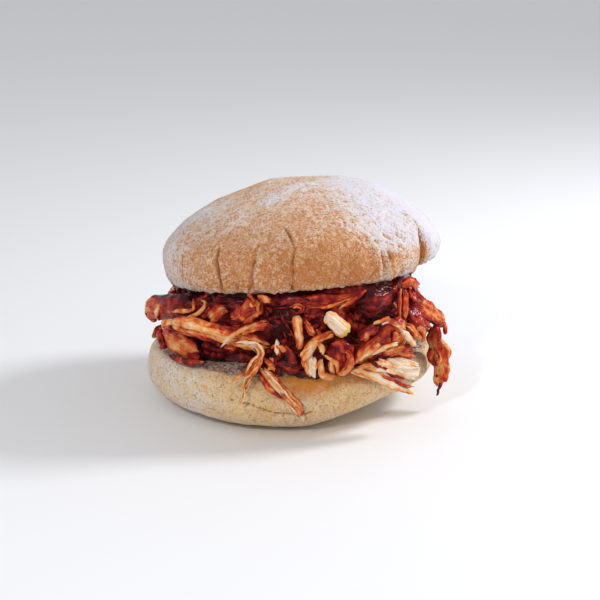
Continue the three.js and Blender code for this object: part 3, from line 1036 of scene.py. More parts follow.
def raiseStrokes(angle, level):
    # shreds in relief: how far each point stands out, and one shade for each shred
    dice = np.random.default_rng(core["seed"])
    relief, tone = np.zeros((2, len(angle)))
    for _ in range(core["strokes"]):
        at, up = dice.uniform(-math.pi, math.pi), dice.uniform(0.03, 0.97)
        tilt = dice.normal(0, core["steep"])
        long, wide, proud = (dice.uniform(*core[key]) for key in ("long", "wide", "proud"))
        east = turnBetween(angle, at) * core["around"]
        north = (level - up) * heap["tall"]
        along = east * math.cos(tilt) + north * math.sin(tilt)
        sway = 0.0012 * np.sin(along * 260 + up * 9)
        across = -east * math.sin(tilt) + north * math.cos(tilt) + sway
        mound = bell(across / wide) * bell((along / long) ** 2) * proud
        tone = np.where(mound > relief, dice.uniform(0, 1), tone)
        relief = np.maximum(relief, mound)
    return relief, tone


def makeCore():
    # the mass of sauce and meat that fills the bun, with shreds standing out of it in relief
    deselectAll()
    bpy.ops.mesh.primitive_cylinder_add(
        vertices=core["sides"], radius=1, depth=1, end_fill_type="TRIFAN", location=(0, 0, 0.5)
    )
    bpy.ops.object.transform_apply(location=True)
    piece = bpy.context.object
    piece.name = "fillingCore"
    subdivideEdges(piece, lambda a, b: abs(a.z - b.z) > 0.5, core["rows"])
    subdivideEdges(piece, lambda a, b: min(a.xy.length, b.xy.length) < 0.01, core["rings"])
    bpy.ops.object.shade_smooth()
    points = getPoints(piece)
    angle, share, level = polar(points)
    side = ease(share, 0.9, 1)
    relief, tone = raiseStrokes(angle, level)
    points = heapPoint(angle, level, side * (core["inset"] - relief * 0.9), share)
    points = addLumps(points, 0.0006, 0.004, 31) * side[:, None] + points * (1 - side[:, None])
    setPoints(piece, points)
    # the sauce is darkest in the hollows between the raised shreds: thick sauce, partly painted shade in
    # the gaps
    sauce = np.clip(1.0 - 190 * relief, 0.62, 1.1)
    setFields(piece, sauce=sauce, tone=tone, fat=0, grain=points / 0.0016)
    return piece


corePiece = makeCore()
print("the core is filled")


def smoothPath(points, count=72):
    # a Catmull-Rom curve through the points, evenly resampled
    p = np.array(points, float)
    p = np.vstack([2 * p[0] - p[1], p, 2 * p[-1] - p[-2]])
    t = np.linspace(0, 1, 24, endpoint=False)[:, None]
    parts = []
    for a, b, c, d in zip(p, p[1:], p[2:], p[3:]):
        bend, skew = 2 * a - 5 * b + 4 * c - d, 3 * b - a - 3 * c + d
        parts.append(0.5 * (2 * b + (c - a) * t + bend * t**2 + skew * t**3))
    dense = np.vstack(parts + [p[-2:-1]])
    steps = np.linalg.norm(np.diff(dense, axis=0), axis=1)
    travelled = np.concatenate([[0], np.cumsum(steps)])
    even = np.linspace(0, travelled[-1], count)
    return np.stack([np.interp(even, travelled, dense[:, k]) for k in range(3)], axis=1), travelled[-1]


def unit(vectors):
    return vectors / np.maximum(np.linalg.norm(vectors, axis=1, keepdims=True), 1e-9)


def roundBar(name, sides, rings):
    # a cylinder from x 0 to 1 with its long edges cut into rings
    deselectAll()
    bpy.ops.mesh.primitive_cylinder_add(
        vertices=sides,
        radius=0.5,
        depth=1,
        end_fill_type="TRIFAN",
        location=(0.5, 0, 0),
        rotation=(0, math.pi / 2, 0),
    )
    bpy.ops.object.transform_apply(location=True, rotation=True)
    piece = bpy.context.object
    piece.name = name
    subdivideEdges(piece, lambda a, b: abs(a.x - b.x) > 0.5, rings)
    bpy.ops.object.shade_smooth()
    return piece


def makeShred(name, kind, seed):
    # a flat torn bundle of fibres, one unit long, wide and thick
    piece = roundBar(name, kind["sides"], kind["rings"])
    points = getPoints(piece)
    even = points[:, 0]
    x = 0.6 * (0.5 - 0.5 * np.cos(np.pi * even)) + 0.4 * even
    rim = np.clip(2 * np.hypot(points[:, 1], points[:, 2]), 0, 1)
    turn = np.arctan2(points[:, 2], points[:, 1])
    u = np.cos(turn) * rim
    dice = np.random.default_rng(seed)
    # lanes of unequal width, one for each bundle of fibres
    count = kind["fibres"]
    shares = dice.uniform(0.5, 1.6, count)
    borders = np.concatenate([[0], np.cumsum(shares)]) / shares.sum() * 2 - 1
    centres, halves = (borders[1:] + borders[:-1]) / 2, (borders[1:] - borders[:-1]) / 2
    phase = dice.uniform(0, 6.28, count)
    lanes = centres[None, :] + 0.35 * halves[None, :] * np.sin(5 * x[:, None] + phase[None, :])
    apart = np.abs(u[:, None] - lanes) / halves[None, :]
    lane = apart.argmin(axis=1)
    groove = np.clip(apart.min(axis=1), 0, 1.15)
    deep = (dice.uniform(0.25, 1.0, count) * kind["ridged"])[lane]
    dip = deep * groove**4
    first = dice.uniform(0, kind["fray"], count)[lane]
    last = 1 - dice.uniform(0, kind["fray"], count)[lane]
    ends = np.abs(2 * x - 1)
    newX = first + (last - first) * x
    newX -= np.sign(x - 0.5) * 0.09 * deep * groove**2 * ends**6
    cap = np.maximum(np.sqrt(np.clip(1 - ends ** kind["square"], 0, 1)), 0.14)
    # torn fibres stay spread at the ends, each drawn to its own point
    spread = cap ** (1 - 0.8 * kind["ridged"])
    own = np.take_along_axis(lanes, lane[:, None], axis=1)[:, 0]
    u -= (u - own) * 0.55 * kind["ridged"] * ends**8
    full = kind["blunt"] + (1 - kind["blunt"]) * np.sin(np.pi * np.clip(x, 0, 1)) ** 0.6
    notch = 1 + 0.07 * np.sin(9 * x + 3 * np.sign(u) + phase[0])
    notch += 0.04 * np.sin(23 * x + 5 * np.sign(u) + phase[-1])
    lift = dice.uniform(-0.14, 0.14, count)[lane] * kind["ridged"] * (0.5 + ends**2) * cap
    thin = 1 - kind["wedge"] * ends**5
    cup = kind["cup"] * dice.uniform(0.4, 1.0) * (u**2 - 0.35)
    z = 0.5 * np.sin(turn) * rim * (1 - 0.5 * dip) * thin * cap + lift + cup * 0.5
    points = np.stack([newX, 0.5 * u * full * notch * spread, z], axis=1)
    setPoints(piece, points)
    setFields(
        piece,
        tone=dice.uniform(0, 1, count)[lane],
        sauce=0.16 * deep * groove**2 - 0.10 * np.sin(turn) * rim + 0.18 * np.abs(u) ** 3,
        grain=np.stack([x, u, np.full(len(x), seed * 0.37)], axis=1),
    )
    return piece


def layShred(piece, path, width, thickness, twist=0, sauce=0.3, curl=0, lumps=0.5, seed=0, fat=0):
    # bends a unit shred along a path, its flat side facing away from the middle of the bun;
    # the sauce is one value or one each for the start, middle and end
    line, length = smoothPath(path)
    along = unit(np.gradient(line, axis=0))
    away = line * [1, 1, 0] + [0, 0, 1e-4]
    side = unit(np.cross(along, away))
    turn = np.radians(twist + curl * np.linspace(-0.5, 0.5, len(line)))[:, None]
    side = unit(side * np.cos(turn) + np.cross(along, side) * np.sin(turn))
    out = np.cross(side, along)
    local = getPoints(piece)
    at = np.clip(local[:, 0] * (len(line) - 1), 0, len(line) - 1)
    steps = np.arange(len(line))
    pick = lambda rows: np.stack([np.interp(at, steps, rows[:, k]) for k in range(3)], axis=1)
    x = np.clip(local[:, 0], 0, 1)
    wide = width[0] + (width[1] - width[0]) * x
    across, through = local[:, 1] * wide, local[:, 2] * thickness
    points = pick(line) + pick(side) * across[:, None] + pick(out) * through[:, None]
    points = addLumps(points, lumps * mm, 0.0045, seed)
    points = addLumps(points, 0.35 * lumps * mm, 0.0016, seed + 3)
    setPoints(piece, points)
    grain = readField(piece, "grain", 3)
    grain = grain * [length / 0.0055, max(width) / 0.0011, 1] + [seed * 0.7, 0, seed * 0.31]
    base = np.interp(x, [0, 0.5, 1], sauce) if isinstance(sauce, tuple) else sauce
    # sauce lies in patches that are longer along the fibres
    cells = np.stack([x * length / 0.0095, across / 0.0024, through / 0.0024], axis=1)
    patches = 0.34 * softNoise(cells, 1.0, seed + 5) + 0.20 * softNoise(points, 0.0020, seed + 9)
    patches *= 1 - 0.55 * ease(base, 0.68, 0.98)
    setFields(
        piece,
        grain=grain,
        sauce=base + readField(piece, "sauce") + patches,
        tone=0.7 * readField(piece, "tone") + 0.3 * ((seed * 0.618) % 1),
        fat=fat * ease(x, 0.45, 0.8),
    )


# the usual make of a large shred: its mesh, how many bundles of fibres it has, how far their ends fray,
# how blunt, cupped and ridged it is, how squarely it ends and how much thinner it gets there
bigKind = {
    "sides": 60, "rings": 54, "fibres": 8, "fray": 0.08, "blunt": 0.7,
    "cup": 0.2, "ridged": 0.6, "square": 9, "wedge": 0.6,
}
# large shreds, one for each solid of the frame: path in millimetres, as wide and thick as the solid
heroes = {
    "chicken_roll_left": {
        "path": [(-52.6, -8, 34.2), (-45.5, -18, 38.3), (-38, -27, 40.2), (-31.5, -33, 41)],
        "width": (8.8, 11), "thickness": 8, "blunt": 0.85, "sauce": (0.30, 0.78, 1.04), "fibres": 5,
        "ridged": 0.4, "square": 4, "wedge": 0.1, "fray": 0.02,
    },
    "chicken_slab_left": {
        "path": [(-45.5, -24, 31), (-39, -31.5, 29), (-31, -37.5, 27)],
        "width": (10.5, 10.5), "thickness": 5, "blunt": 0.75, "twist": 8,
        "sauce": (0.72, 0.40, 0.56), "fibres": 7, "ridged": 0.35, "square": 6, "fat": 0.35,
    },
    "chicken_plank": {
        "path": [(-43, -35, 37.5), (-34, -43.5, 38.6), (-24, -48, 37.6), (-15.5, -50, 36),
                 (-6.5, -50.5, 33.2)],
        "width": (6.6, 7.4), "thickness": 4.6, "blunt": 0.8, "twist": 10,
        "sauce": (0.38, 0.35, 0.44), "fibres": 5, "ridged": 0.55, "square": 6,
    },
    "chicken_folded_strand": {
        "path": [(-23, -53, 34), (-18, -54, 35.8), (-12.5, -56, 35.8), (-9.5, -56.5, 33),
                 (-11.5, -55.5, 28.5), (-14.5, -54.5, 22.5), (-16.5, -54.5, 16)],
        "width": (3.4, 2.6), "thickness": 2.2, "blunt": 0.35, "sauce": (0.52, 0.32, 0.40),
        "fibres": 4, "fray": 0.2, "ridged": 1.0,
    },
    "chicken_drape": {
        "path": [(-9.5, -52.5, 27), (-6, -54.5, 23), (-1.5, -55.5, 18.5), (2.5, -55, 13.5),
                 (4.5, -52, 8)],
        "width": (3.8, 3.4), "thickness": 2.4, "blunt": 0.9, "twist": -10,
        "sauce": (0.24, 0.24, 0.34), "fibres": 4, "fray": 0.06, "ridged": 0.8, "square": 12,
        "wedge": 0.3,
    },
    "chicken_stick": {
        "path": [(2.5, -50, 45), (3, -52, 40), (3.5, -51.5, 32.5)],
        "width": (3.9, 2.3), "thickness": 3, "sauce": (0.34, 0.32, 0.52), "fibres": 4, "blunt": 0.9,
        "ridged": 0.7, "square": 14,
    },
    "chicken_zigzag": {
        "path": [(15.5, -50.5, 38.5), (10.5, -53, 37), (6.5, -54, 33), (6.3, -54, 28),
                 (6.5, -52, 23)],
        "width": (3.4, 3.4), "thickness": 2.8, "blunt": 0.7, "sauce": (0.50, 0.34, 0.26),
        "fibres": 4,
    },
    "chicken_pale_chunk": {
        "path": [(12.3, -50, 45.2), (16.5, -51, 41.5), (20, -49.5, 38)],
        "width": (5.2, 5.8), "thickness": 4.6, "blunt": 0.85, "sauce": (0.12, -0.06, 0.10),
        "fibres": 4, "fray": 0.04, "ridged": 0.7, "square": 9, "fat": 0.7,
    },
    "chicken_lump_front": {
        "path": [(15.5, -49.5, 36), (17.5, -51, 31), (18.5, -50, 24.5)],
        "width": (9, 9), "thickness": 6.5, "blunt": 0.65, "sauce": (0.88, 0.72, 0.54), "fibres": 5,
        "ridged": 0.25, "square": 4, "wedge": 0.3,
    },
    "chicken_fan": {
        "path": [(23, -47, 26.5), (28, -48.5, 32), (33, -47.5, 36), (41, -41, 36.5)],
        "width": (6.5, 13.5), "thickness": 5.5, "blunt": 0.65, "sauce": (0.34, 0.54, 0.30),
        "fibres": 8, "ridged": 0.6, "fat": 0.3,
    },
    "chicken_flap_right": {
        "path": [(31.5, -44, 29.6), (37.5, -42, 28.4), (44, -37, 26.3)],
        "width": (4.5, 5.5), "thickness": 4, "blunt": 0.6, "sauce": (0.74, 0.66, 0.52), "fibres": 4,
        "ridged": 0.4,
    },
    "chicken_slab_right": {
        "path": [(20.5, -51.5, 25), (29, -50.5, 24.8), (36.5, -46.5, 22), (45, -40.5, 18)],
        "width": (4.2, 13.8), "thickness": 3.6, "blunt": 0.9, "twist": 15,
        "sauce": (0.22, 0.12, -0.04), "fibres": 8, "fray": 0.1, "ridged": 0.8, "square": 14,
    },
    "chicken_chunk_top_right": {
        "path": [(22.5, -43.5, 46.3), (29, -40.5, 46.5), (36.5, -34, 46.5)],
        "width": (10, 11.5), "thickness": 7, "blunt": 0.75, "sauce": (1.06, 0.84, 1.02),
        "fibres": 5, "lumps": 0.9, "ridged": 0.45, "square": 5, "wedge": 0.3,
    },
    "chicken_strip_right": {
        "path": [(40.5, -26, 49), (45.5, -24, 42.2), (51.5, -20, 36), (56.5, -17, 31)],
        "width": (6.2, 7.4), "thickness": 4.4, "blunt": 0.85, "sauce": (0.60, 0.60, 0.52),
        "fibres": 4, "ridged": 0.3, "square": 5, "lumps": 0.9, "fray": 0.02,
    },
    "chicken_drip_right": {
        "path": [(51, -17.5, 31), (53.5, -19.5, 24.5), (55, -20.5, 18.5), (55, -21, 13),
                 (54, -21, 8)],
        "width": (8, 9), "thickness": 5, "blunt": 0.25, "twist": -55, "sauce": (0.32, 0.22, 0.36),
        "fibres": 4, "fray": 0.03, "lumps": 1.3, "ridged": 0.2, "square": 3, "wedge": 0.3,
    },
    "chicken_sheet_top": {
        "path": [(-3, -44, 47.6), (7, -45.5, 48), (17, -44, 48.4), (25, -38.5, 49)],
        "width": (5.4, 5.4), "thickness": 4, "blunt": 0.5, "sauce": (0.80, 0.70, 0.58), "fibres": 5,
        "ridged": 0.4,
    },
    "chicken_cluster_left": {
        "path": [(-16.5, -48, 41), (-14, -48.5, 45.5), (-9.5, -46.5, 48.5)],
        "width": (8.5, 7), "thickness": 5, "blunt": 0.65, "sauce": (0.72, 0.58, 0.54), "fibres": 5,
        "fray": 0.12, "ridged": 0.35, "square": 5,
    },
}


def makeHeroes():
    made = {}
    for k, (name, hero) in enumerate(heroes.items()):
        kind = {key: hero.get(key, usual) for key, usual in bigKind.items()}
        piece = makeShred(name + "_meat", kind, 100 + k)
        path = [Vector(p) * mm for p in hero["path"]]
        width = [w * mm for w in hero["width"]]
        thickness, twist = hero["thickness"] * mm, hero.get("twist", 0)
        lumps, fat = hero.get("lumps", 0.55), hero.get("fat", 0)
        layShred(piece, path, width, thickness, twist, hero["sauce"], 0, lumps, k + 1, fat)
        made[name] = piece
    return made


heroPieces = makeHeroes()
print("the large shreds are laid")

# smaller pieces that show at the front: width, thickness and sauce, then the path in millimetres
frontBits = [
    # left: the sauce on the roll and slab, curls of fibre under the crown
    (4.4, 3.2, 0.76, [(-46.2, -24.4, 32.2), (-46.4, -25.4, 29.2), (-44.4, -27.4, 25.2)]),
    (2.6, 2.0, 0.76, [(-43.6, -28.6, 24), (-37.2, -36.6, 23.7), (-29.4, -42.6, 25.4)]),
    (2.2, 1.8, 0.44, [(-53.0, -9.6, 35.6), (-51.2, -12.2, 32.4), (-48.9, -14.4, 31.0)]),
    (4.8, 2.4, 0.40, [(-49.8, -12.4, 38.6), (-51.0, -12.8, 36.2), (-50.0, -14.0, 33.4)]),
    (2.6, 1.8, 0.34, [(-47.4, -19.4, 33.6), (-48.0, -20.9, 37.2), (-46.6, -21.6, 41.0)]),
    (1.5, 1.2, 0.40, [(-33.3, -33.5, 46.8), (-33.5, -36.8, 45.0), (-34.2, -38.6, 43.4),
                      (-37.9, -37.0, 42.2), (-41.7, -33.2, 40.8)]),
    (1.6, 1.3, 0.28, [(-30.9, -37.4, 47.1), (-29.4, -40.4, 45.7), (-31.1, -42.0, 43.4),
                      (-33.8, -41.8, 41.6), (-36.4, -40.2, 40.6)]),
    (5.0, 3.2, 0.50, [(-27.8, -41.4, 40.2), (-25.4, -42.4, 43), (-21.7, -43, 45)]),
    (2.6, 2.2, 0.56, [(-30.5, -40.6, 40.4), (-28.6, -41.2, 42.6), (-27.4, -40.6, 44.6)]),
    (3.6, 2.8, 0.90, [(-38, -31.6, 43.4), (-31, -37.6, 43.9), (-24, -42, 46.4)]),
    (1.6, 1.3, 0.58, [(-40.5, -37.6, 36.2), (-33.6, -44.4, 35.9), (-25.5, -48.6, 35)]),
    (2.6, 2.2, 0.24, [(-45.4, -32.4, 35.6), (-43.6, -35.6, 37.6), (-39.6, -39, 38.6)]),
    (1.4, 1.2, 0.56, [(-44.6, -32.8, 33.4), (-42.6, -36.4, 34.6), (-38, -41, 35.2)]),
    # the cluster and the arm of the folded strand
    (1.8, 1.5, 0.16, [(-13.6, -50.4, 49.8), (-12.6, -51.1, 48), (-12.3, -50.6, 46.1)]),
    (2.2, 1.7, 0.52, [(-10.8, -47.9, 50.9), (-8.5, -48.4, 50.1), (-6.0, -47.8, 49.1)]),
    (1.6, 1.3, 0.44, [(-14.6, -47.9, 50.8), (-13, -49, 50.7), (-11.5, -49.9, 49)]),
    (3.4, 2.6, 0.60, [(-19.6, -47.4, 42), (-17.8, -49.4, 44.6), (-16.4, -49, 47.6)]),
    (2.8, 2.2, 0.62, [(-15.4, -50.8, 43.6), (-13.6, -51.2, 45.8), (-10.8, -50, 47.2)]),
    (1.8, 1.4, 0.52, [(-22.7, -54.2, 34.4), (-20.6, -54.9, 34.5), (-17.9, -54.4, 33.6)]),
    (1.5, 1.3, 0.28, [(-23.6, -54.5, 34.2), (-20.5, -55, 38), (-16.7, -54.6, 40.4),
                      (-11.5, -53, 42.3), (-6.6, -51, 43.3)]),
    (3.2, 1.8, 0.40, [(-17.5, -53.4, 39.1), (-13, -52.8, 40.8), (-7.3, -51.4, 41.6)]),
    (1.2, 1.0, 0.20, [(-18.3, -55, 36), (-13.7, -56.2, 36.6), (-10.3, -57.1, 35.6),
                      (-8.6, -57.5, 34), (-9.2, -57.3, 31.6)]),
    (1.2, 1.0, 0.40, [(-14.5, -55.6, 35.1), (-11.2, -57, 34.7), (-10.5, -57.3, 32.8),
                      (-13, -56.8, 29.5), (-15, -56.1, 25.5)]),
    (1.1, 0.9, 0.36, [(-8.8, -57.4, 33.7), (-9.7, -57, 29.6), (-12.3, -56.5, 26.2),
                      (-15.2, -55.8, 23.6)]),
    (1.0, 0.9, 0.54, [(-10.7, -56.8, 32.3), (-13, -56.4, 28.9), (-16.4, -55.4, 25.2),
                      (-19.5, -53.8, 21.6)]),
    (0.9, 0.8, 0.34, [(-14.8, -55.7, 24.5), (-15.6, -55.3, 21.8), (-15, -54.9, 18.4),
                      (-17, -54.2, 13.3)]),
    # the middle: a torn clump, frayed ends, the drape and the stick
    (1.9, 1.6, 0.16, [(-3.9, -52.8, 36.8), (-4.3, -53.4, 34.4), (-4.9, -53, 31.2)]),
    (1.8, 1.5, 0.38, [(-4.3, -53.4, 35.2), (-2.8, -53.8, 34.5), (-0.9, -52.8, 32.8)]),
    (1.8, 1.5, 0.48, [(-6.6, -52.8, 33.6), (-4.5, -53.6, 34.2), (-3.2, -52.8, 31.4)]),
    (2.2, 1.6, 0.54, [(-8.6, -53.6, 30), (-6.8, -53.6, 28.4), (-5.1, -52.6, 25.8)]),
    (1.6, 1.3, 0.38, [(-6.2, -53, 30.4), (-5.6, -53.6, 28), (-6.6, -53.4, 26)]),
    (1.9, 1.3, 0.62, [(-10.4, -54.6, 26), (-8.3, -56, 22.2), (-5.3, -56.4, 19), (-1.8, -56, 16.4)]),
    (1.0, 0.9, 0.08, [(-8.4, -54.8, 27), (-5.6, -56.2, 23.6), (-2, -56.9, 20), (1.2, -56.4, 16)]),
    (1.5, 1.2, 0.30, [(-4.4, -56.4, 20.4), (-0.1, -56.6, 16), (3.2, -54.8, 11.4),
                      (6.0, -51.8, 6.2)]),
    (1.7, 1.3, 0.20, [(-1.6, -56.2, 17.4), (1.8, -55.2, 12.6), (4.6, -52.8, 8.0),
                      (5.6, -51.4, 5.8)]),
    (2.0, 1.7, 0.44, [(4.5, -51.1, 43.5), (6.7, -52.1, 41.4), (9.6, -52.1, 38.9)]),
    (1.3, 1.1, 0.50, [(5.6, -50.6, 41), (7.4, -51.4, 38.6), (9.4, -51.6, 37.2)]),
    (1.7, 1.4, 0.46, [(9.8, -51.6, 40.6), (10.4, -52.7, 38.4), (10.5, -53.1, 36.7)]),
    (2.0, 1.6, 0.48, [(10.3, -53.1, 37.3), (12.8, -52.9, 37.2), (15.2, -51.6, 38.4)]),
    (1.6, 1.3, 0.22, [(12.8, -52.8, 37.3), (9.4, -54.2, 36.6), (6.7, -55, 34.6), (4.6, -55, 31.8),
                      (5.2, -54.6, 28.4)]),
    (2.4, 1.8, 0.50, [(6.4, -54.6, 33.4), (4.9, -54.8, 30.8), (5.2, -54.2, 27.2)]),
    (4.4, 2.4, 0.06, [(8.3, -54.4, 31.4), (7.6, -55.2, 27.8), (7.7, -54.4, 23.2)]),
    (2.0, 1.7, 0.24, [(10.8, -52.5, 35.4), (11.4, -53.4, 33.2), (10.9, -54, 31.4)]),
    (2.1, 1.8, 0.16, [(11.6, -53.9, 31.4), (10.6, -54.6, 28.6), (11.0, -54.9, 25.2),
                      (13.6, -54.6, 23.4), (17.0, -53.8, 23.2)]),
    (1.7, 1.5, 0.50, [(11.4, -54.2, 31.0), (14.4, -54.5, 30.6), (16.4, -54.4, 28.0),
                      (16.0, -54.2, 25.0)]),
    # dark sauce behind the hooked strand, as painted shade in the hole that it rings
    (2.2, 1.9, 0.72, [(12.6, -51, 33.6), (13.4, -51.6, 30), (12.8, -52, 26.6)]),
    # the lump right of the middle
    (3.4, 2.6, 0.48, [(18.4, -53.6, 33.4), (20.8, -54, 30.4), (19.6, -54.2, 26.8),
                      (16.6, -53.8, 25.6)]),
    (3.4, 2.6, 0.72, [(15.3, -53, 36.3), (17, -53.9, 34.2), (18.7, -53.7, 31.6)]),
    (2.0, 1.6, 0.24, [(15.4, -53.6, 30.4), (14.4, -53.8, 27.4), (15.6, -53.6, 24.8)]),
    # strands that hang under the crown
    (1.7, 1.4, 0.44, [(26.9, -44.6, 52.3), (21.7, -46.8, 49.1), (16.5, -47.3, 45.9)]),
    (1.2, 1.0, 0.60, [(22.4, -46.2, 50.6), (14.6, -47.6, 47.6), (7.4, -48, 46.6)]),
    (1.0, 0.9, 0.52, [(0.1, -47.3, 46.4), (2.6, -48.3, 48.3), (5, -47.8, 46.4), (2.6, -47.8, 44.6),
                      (0.6, -47.6, 45.4)]),
    (1.0, 0.9, 0.58, [(1.2, -48, 46.4), (2.7, -48.6, 47.2), (3.9, -48.2, 46.3),
                      (2.6, -48.2, 45.4)]),
    (2.4, 1.8, 0.86, [(-4.4, -48, 47.6), (0.4, -48.6, 49.4), (7.6, -47.8, 49.2)]),
    # the right: strips hanging from the crown, the band and the sheet of sauce
    (2.0, 1.7, 0.36, [(38.8, -34.3, 51), (38.8, -36.8, 47.6), (38.4, -38.3, 43.2),
                      (38.4, -38.8, 38.7)]),
    (2.8, 2.0, 0.60, [(40.6, -33.8, 50.6), (40.6, -34.6, 46.4), (40.5, -35.4, 42),
                      (40.3, -36.2, 38.4)]),
    (1.6, 1.3, 0.18, [(36.6, -37.2, 45.8), (37.2, -38.2, 43.6), (37, -38.4, 41)]),
    (2.4, 1.9, 0.58, [(41, -27, 49.6), (41.6, -29, 47), (41.8, -30.4, 43.8)]),
    (3.2, 2.4, 0.74, [(41.2, -29.6, 43.7), (45.6, -26.6, 39.6), (50.8, -23, 35.8),
                      (56.4, -19.4, 31.2)]),
    (4.2, 3.0, 0.66, [(41.9, -31.6, 39.3), (45.8, -29, 36), (50.8, -25, 32)]),
    (6.8, 3.2, (0.64, 0.58, 0.48), [(42.6, -29.8, 42), (44.1, -31, 38.3), (46.6, -30.6, 33.6)]),
    (3.2, 2.6, 0.46, [(39.8, -38, 37.6), (43, -38.4, 35.9), (45.1, -36.4, 30.6)]),
    (3.0, 2.4, 0.38, [(44.7, -34.8, 35.8), (47, -33.8, 33.6), (46.1, -34.2, 29.8)]),
    (2.2, 1.8, 0.42, [(50.6, -22.6, 37.6), (54, -20.4, 34.8), (57, -18.4, 31.6)]),
    (2.6, 2.2, 0.58, [(54.2, -18.8, 33.4), (56.4, -17.6, 30.6), (56.6, -17.8, 27.8)]),
    (1.6, 1.4, 0.44, [(52.9, -24.2, 24.4), (53.8, -24.8, 21), (54, -24.4, 17.2)]),
    (3.4, 2.6, 0.50, [(52.0, -21, 32.2), (53.6, -21.6, 29.4), (53.4, -21.4, 26.4)]),
    (2.6, 2.2, 0.40, [(55.6, -22, 25.6), (57.2, -22, 22.4), (57.0, -22, 19.4)]),
    (2.8, 2.2, 0.52, [(56.2, -22.4, 18.6), (56.6, -22.4, 15.6), (55.4, -22.2, 12.6)]),
    (2.8, 2.2, 0.46, [(51.6, -22.2, 24.0), (51.4, -22.6, 20.2), (52.4, -22.6, 16.6)]),
    (1.6, 1.3, 0.60, [(53.2, -22.8, 14.6), (54.6, -22.6, 11.2), (54.4, -22.2, 8.4)]),
    (1.1, 1.0, 0.72, [(54.6, -22, 10.4), (54.2, -22, 7.4), (53.4, -21.4, 5.6)]),
    # the fan and the slab under it
    (2.0, 1.7, 0.34, [(28.0, -51, 41.1), (30.2, -51.5, 42.6), (33.0, -51.0, 43.3),
                      (36.4, -48.8, 41.4), (40, -45.4, 37.8)]),
    (1.3, 1.2, 0.06, [(30.0, -52, 41.2), (33.4, -51.2, 42.2), (37.2, -48.6, 40.2),
                      (39.6, -46, 37.2)]),
    (3.0, 2.4, 0.02, [(38.9, -45.4, 38.2), (41, -44.8, 35.1), (43.5, -42.8, 30.6)]),
    (3.6, 2.8, 0.66, [(24.4, -51.2, 36), (26.9, -52.2, 39.8), (30.9, -51.8, 40.6)]),
    (2.6, 2.0, 0.60, [(35.4, -49, 39.4), (36, -48.6, 36.4), (35, -48.6, 34.2)]),
    (2.8, 2.2, 0.38, [(21.5, -50.8, 26.7), (24.7, -51.8, 31.6), (28.5, -52.2, 35.8),
                      (32.5, -51.2, 38.5)]),
    (2.2, 1.8, 0.26, [(23.2, -51.3, 28.1), (27, -52.3, 31.8), (31.7, -51.8, 35)]),
    (1.8, 1.5, 0.12, [(27.6, -51.7, 30.6), (32.7, -51.3, 33.4), (38.1, -48, 33.9)]),
    (3.2, 2.4, 0.62, [(31, -49.4, 30.9), (37, -47, 31.6), (43, -43, 30.4)]),
    (1.9, 1.6, 0.44, [(34.1, -48, 29.9), (38.9, -45.5, 29.5), (44.5, -41, 27.6)]),
    (2.4, 1.8, 0.02, [(30.2, -50.4, 30), (34.9, -48.5, 25.3), (40.2, -45.6, 21.3),
                      (45, -42, 17.4)]),
    (2.4, 1.8, -0.06, [(32.9, -49.4, 29.6), (38.1, -46.5, 25.8), (45, -42.5, 21.9)]),
    (2.0, 1.6, 0.06, [(36.4, -46.9, 28), (41, -44, 25.4), (45.5, -42, 23.7)]),
    (2.0, 1.5, 0.70, [(25.5, -52.3, 29), (30.1, -51.5, 27.1), (34.9, -49, 23.5), (40.4, -46, 20)]),
    (3.0, 2.0, 0.18, [(19.6, -52.8, 26.3), (26.3, -52.8, 24.6), (34.2, -49.7, 20.1),
                      (44.8, -43, 13.4)]),
    (1.4, 1.2, 0.62, [(24, -53.2, 26.6), (31.2, -51.4, 23.6), (39.4, -47.2, 18.6),
                      (44.6, -43.4, 15.6)]),
    # thick dark sauce along the heel's rim, partly painted shadow under the overhanging filling
    (4.6, 3.2, 0.92, [(-12.4, -48.4, 24.6), (-6.6, -50.2, 25.2), (-1.4, -50.6, 25.4)]),
    (4.2, 3.0, 0.84, [(-5.4, -50, 27.6), (0, -50.8, 26.4), (5.6, -50.8, 25.6)]),
    (3.4, 2.6, 0.96, [(1.6, -51, 24.2), (6.8, -51, 24), (12.4, -50.2, 23.7)]),
    (3.6, 2.8, 0.88, [(-2.2, -50.2, 33.4), (0.4, -51, 30), (2.8, -50.8, 26.6)]),
    (3.0, 2.4, 0.80, [(10.6, -50.4, 26.2), (16.8, -50.2, 24.4), (23.4, -48.2, 24)]),
    (3.2, 2.6, 0.94, [(-22.4, -48.6, 28.2), (-17.4, -50.4, 29.6), (-11.6, -51, 29)]),
    (2.6, 2.2, 0.60, [(-9.2, -51, 24.4), (-6.4, -51.4, 26.4), (-3.4, -51.4, 27.8)]),
    # red strands under the lobe of the crown
    (3.8, 2.0, 0.60, [(38.4, -33.2, 51.0), (42.4, -30.8, 51.0), (46.4, -26.6, 48.8)]),
    (3.0, 2.2, 0.58, [(42.0, -29.4, 49.4), (43.4, -29.8, 46.2), (45.6, -28.6, 43.0)]),
    (2.2, 1.8, 0.66, [(44.2, -26.4, 48.2), (46.0, -26.0, 45.2), (48.6, -24.4, 42.2)]),
]
# the smaller kinds, made the same way; each is modelled a few times and then copied
smallKinds = {
    "narrow": {
        "sides": 26, "rings": 26, "fibres": 4, "fray": 0.16, "blunt": 0.55,
        "cup": 0.25, "ridged": 0.9, "square": 14, "wedge": 0.55,
    },
    "broad": {
        "sides": 40, "rings": 30, "fibres": 6, "fray": 0.16, "blunt": 0.65,
        "cup": 0.35, "ridged": 0.75, "square": 12, "wedge": 0.55,
    },
    "strand": {
        "sides": 8, "rings": 24, "fibres": 1, "fray": 0.0, "blunt": 0.35,
        "cup": 0.0, "ridged": 0.0, "square": 6, "wedge": 0.3,
    },
}
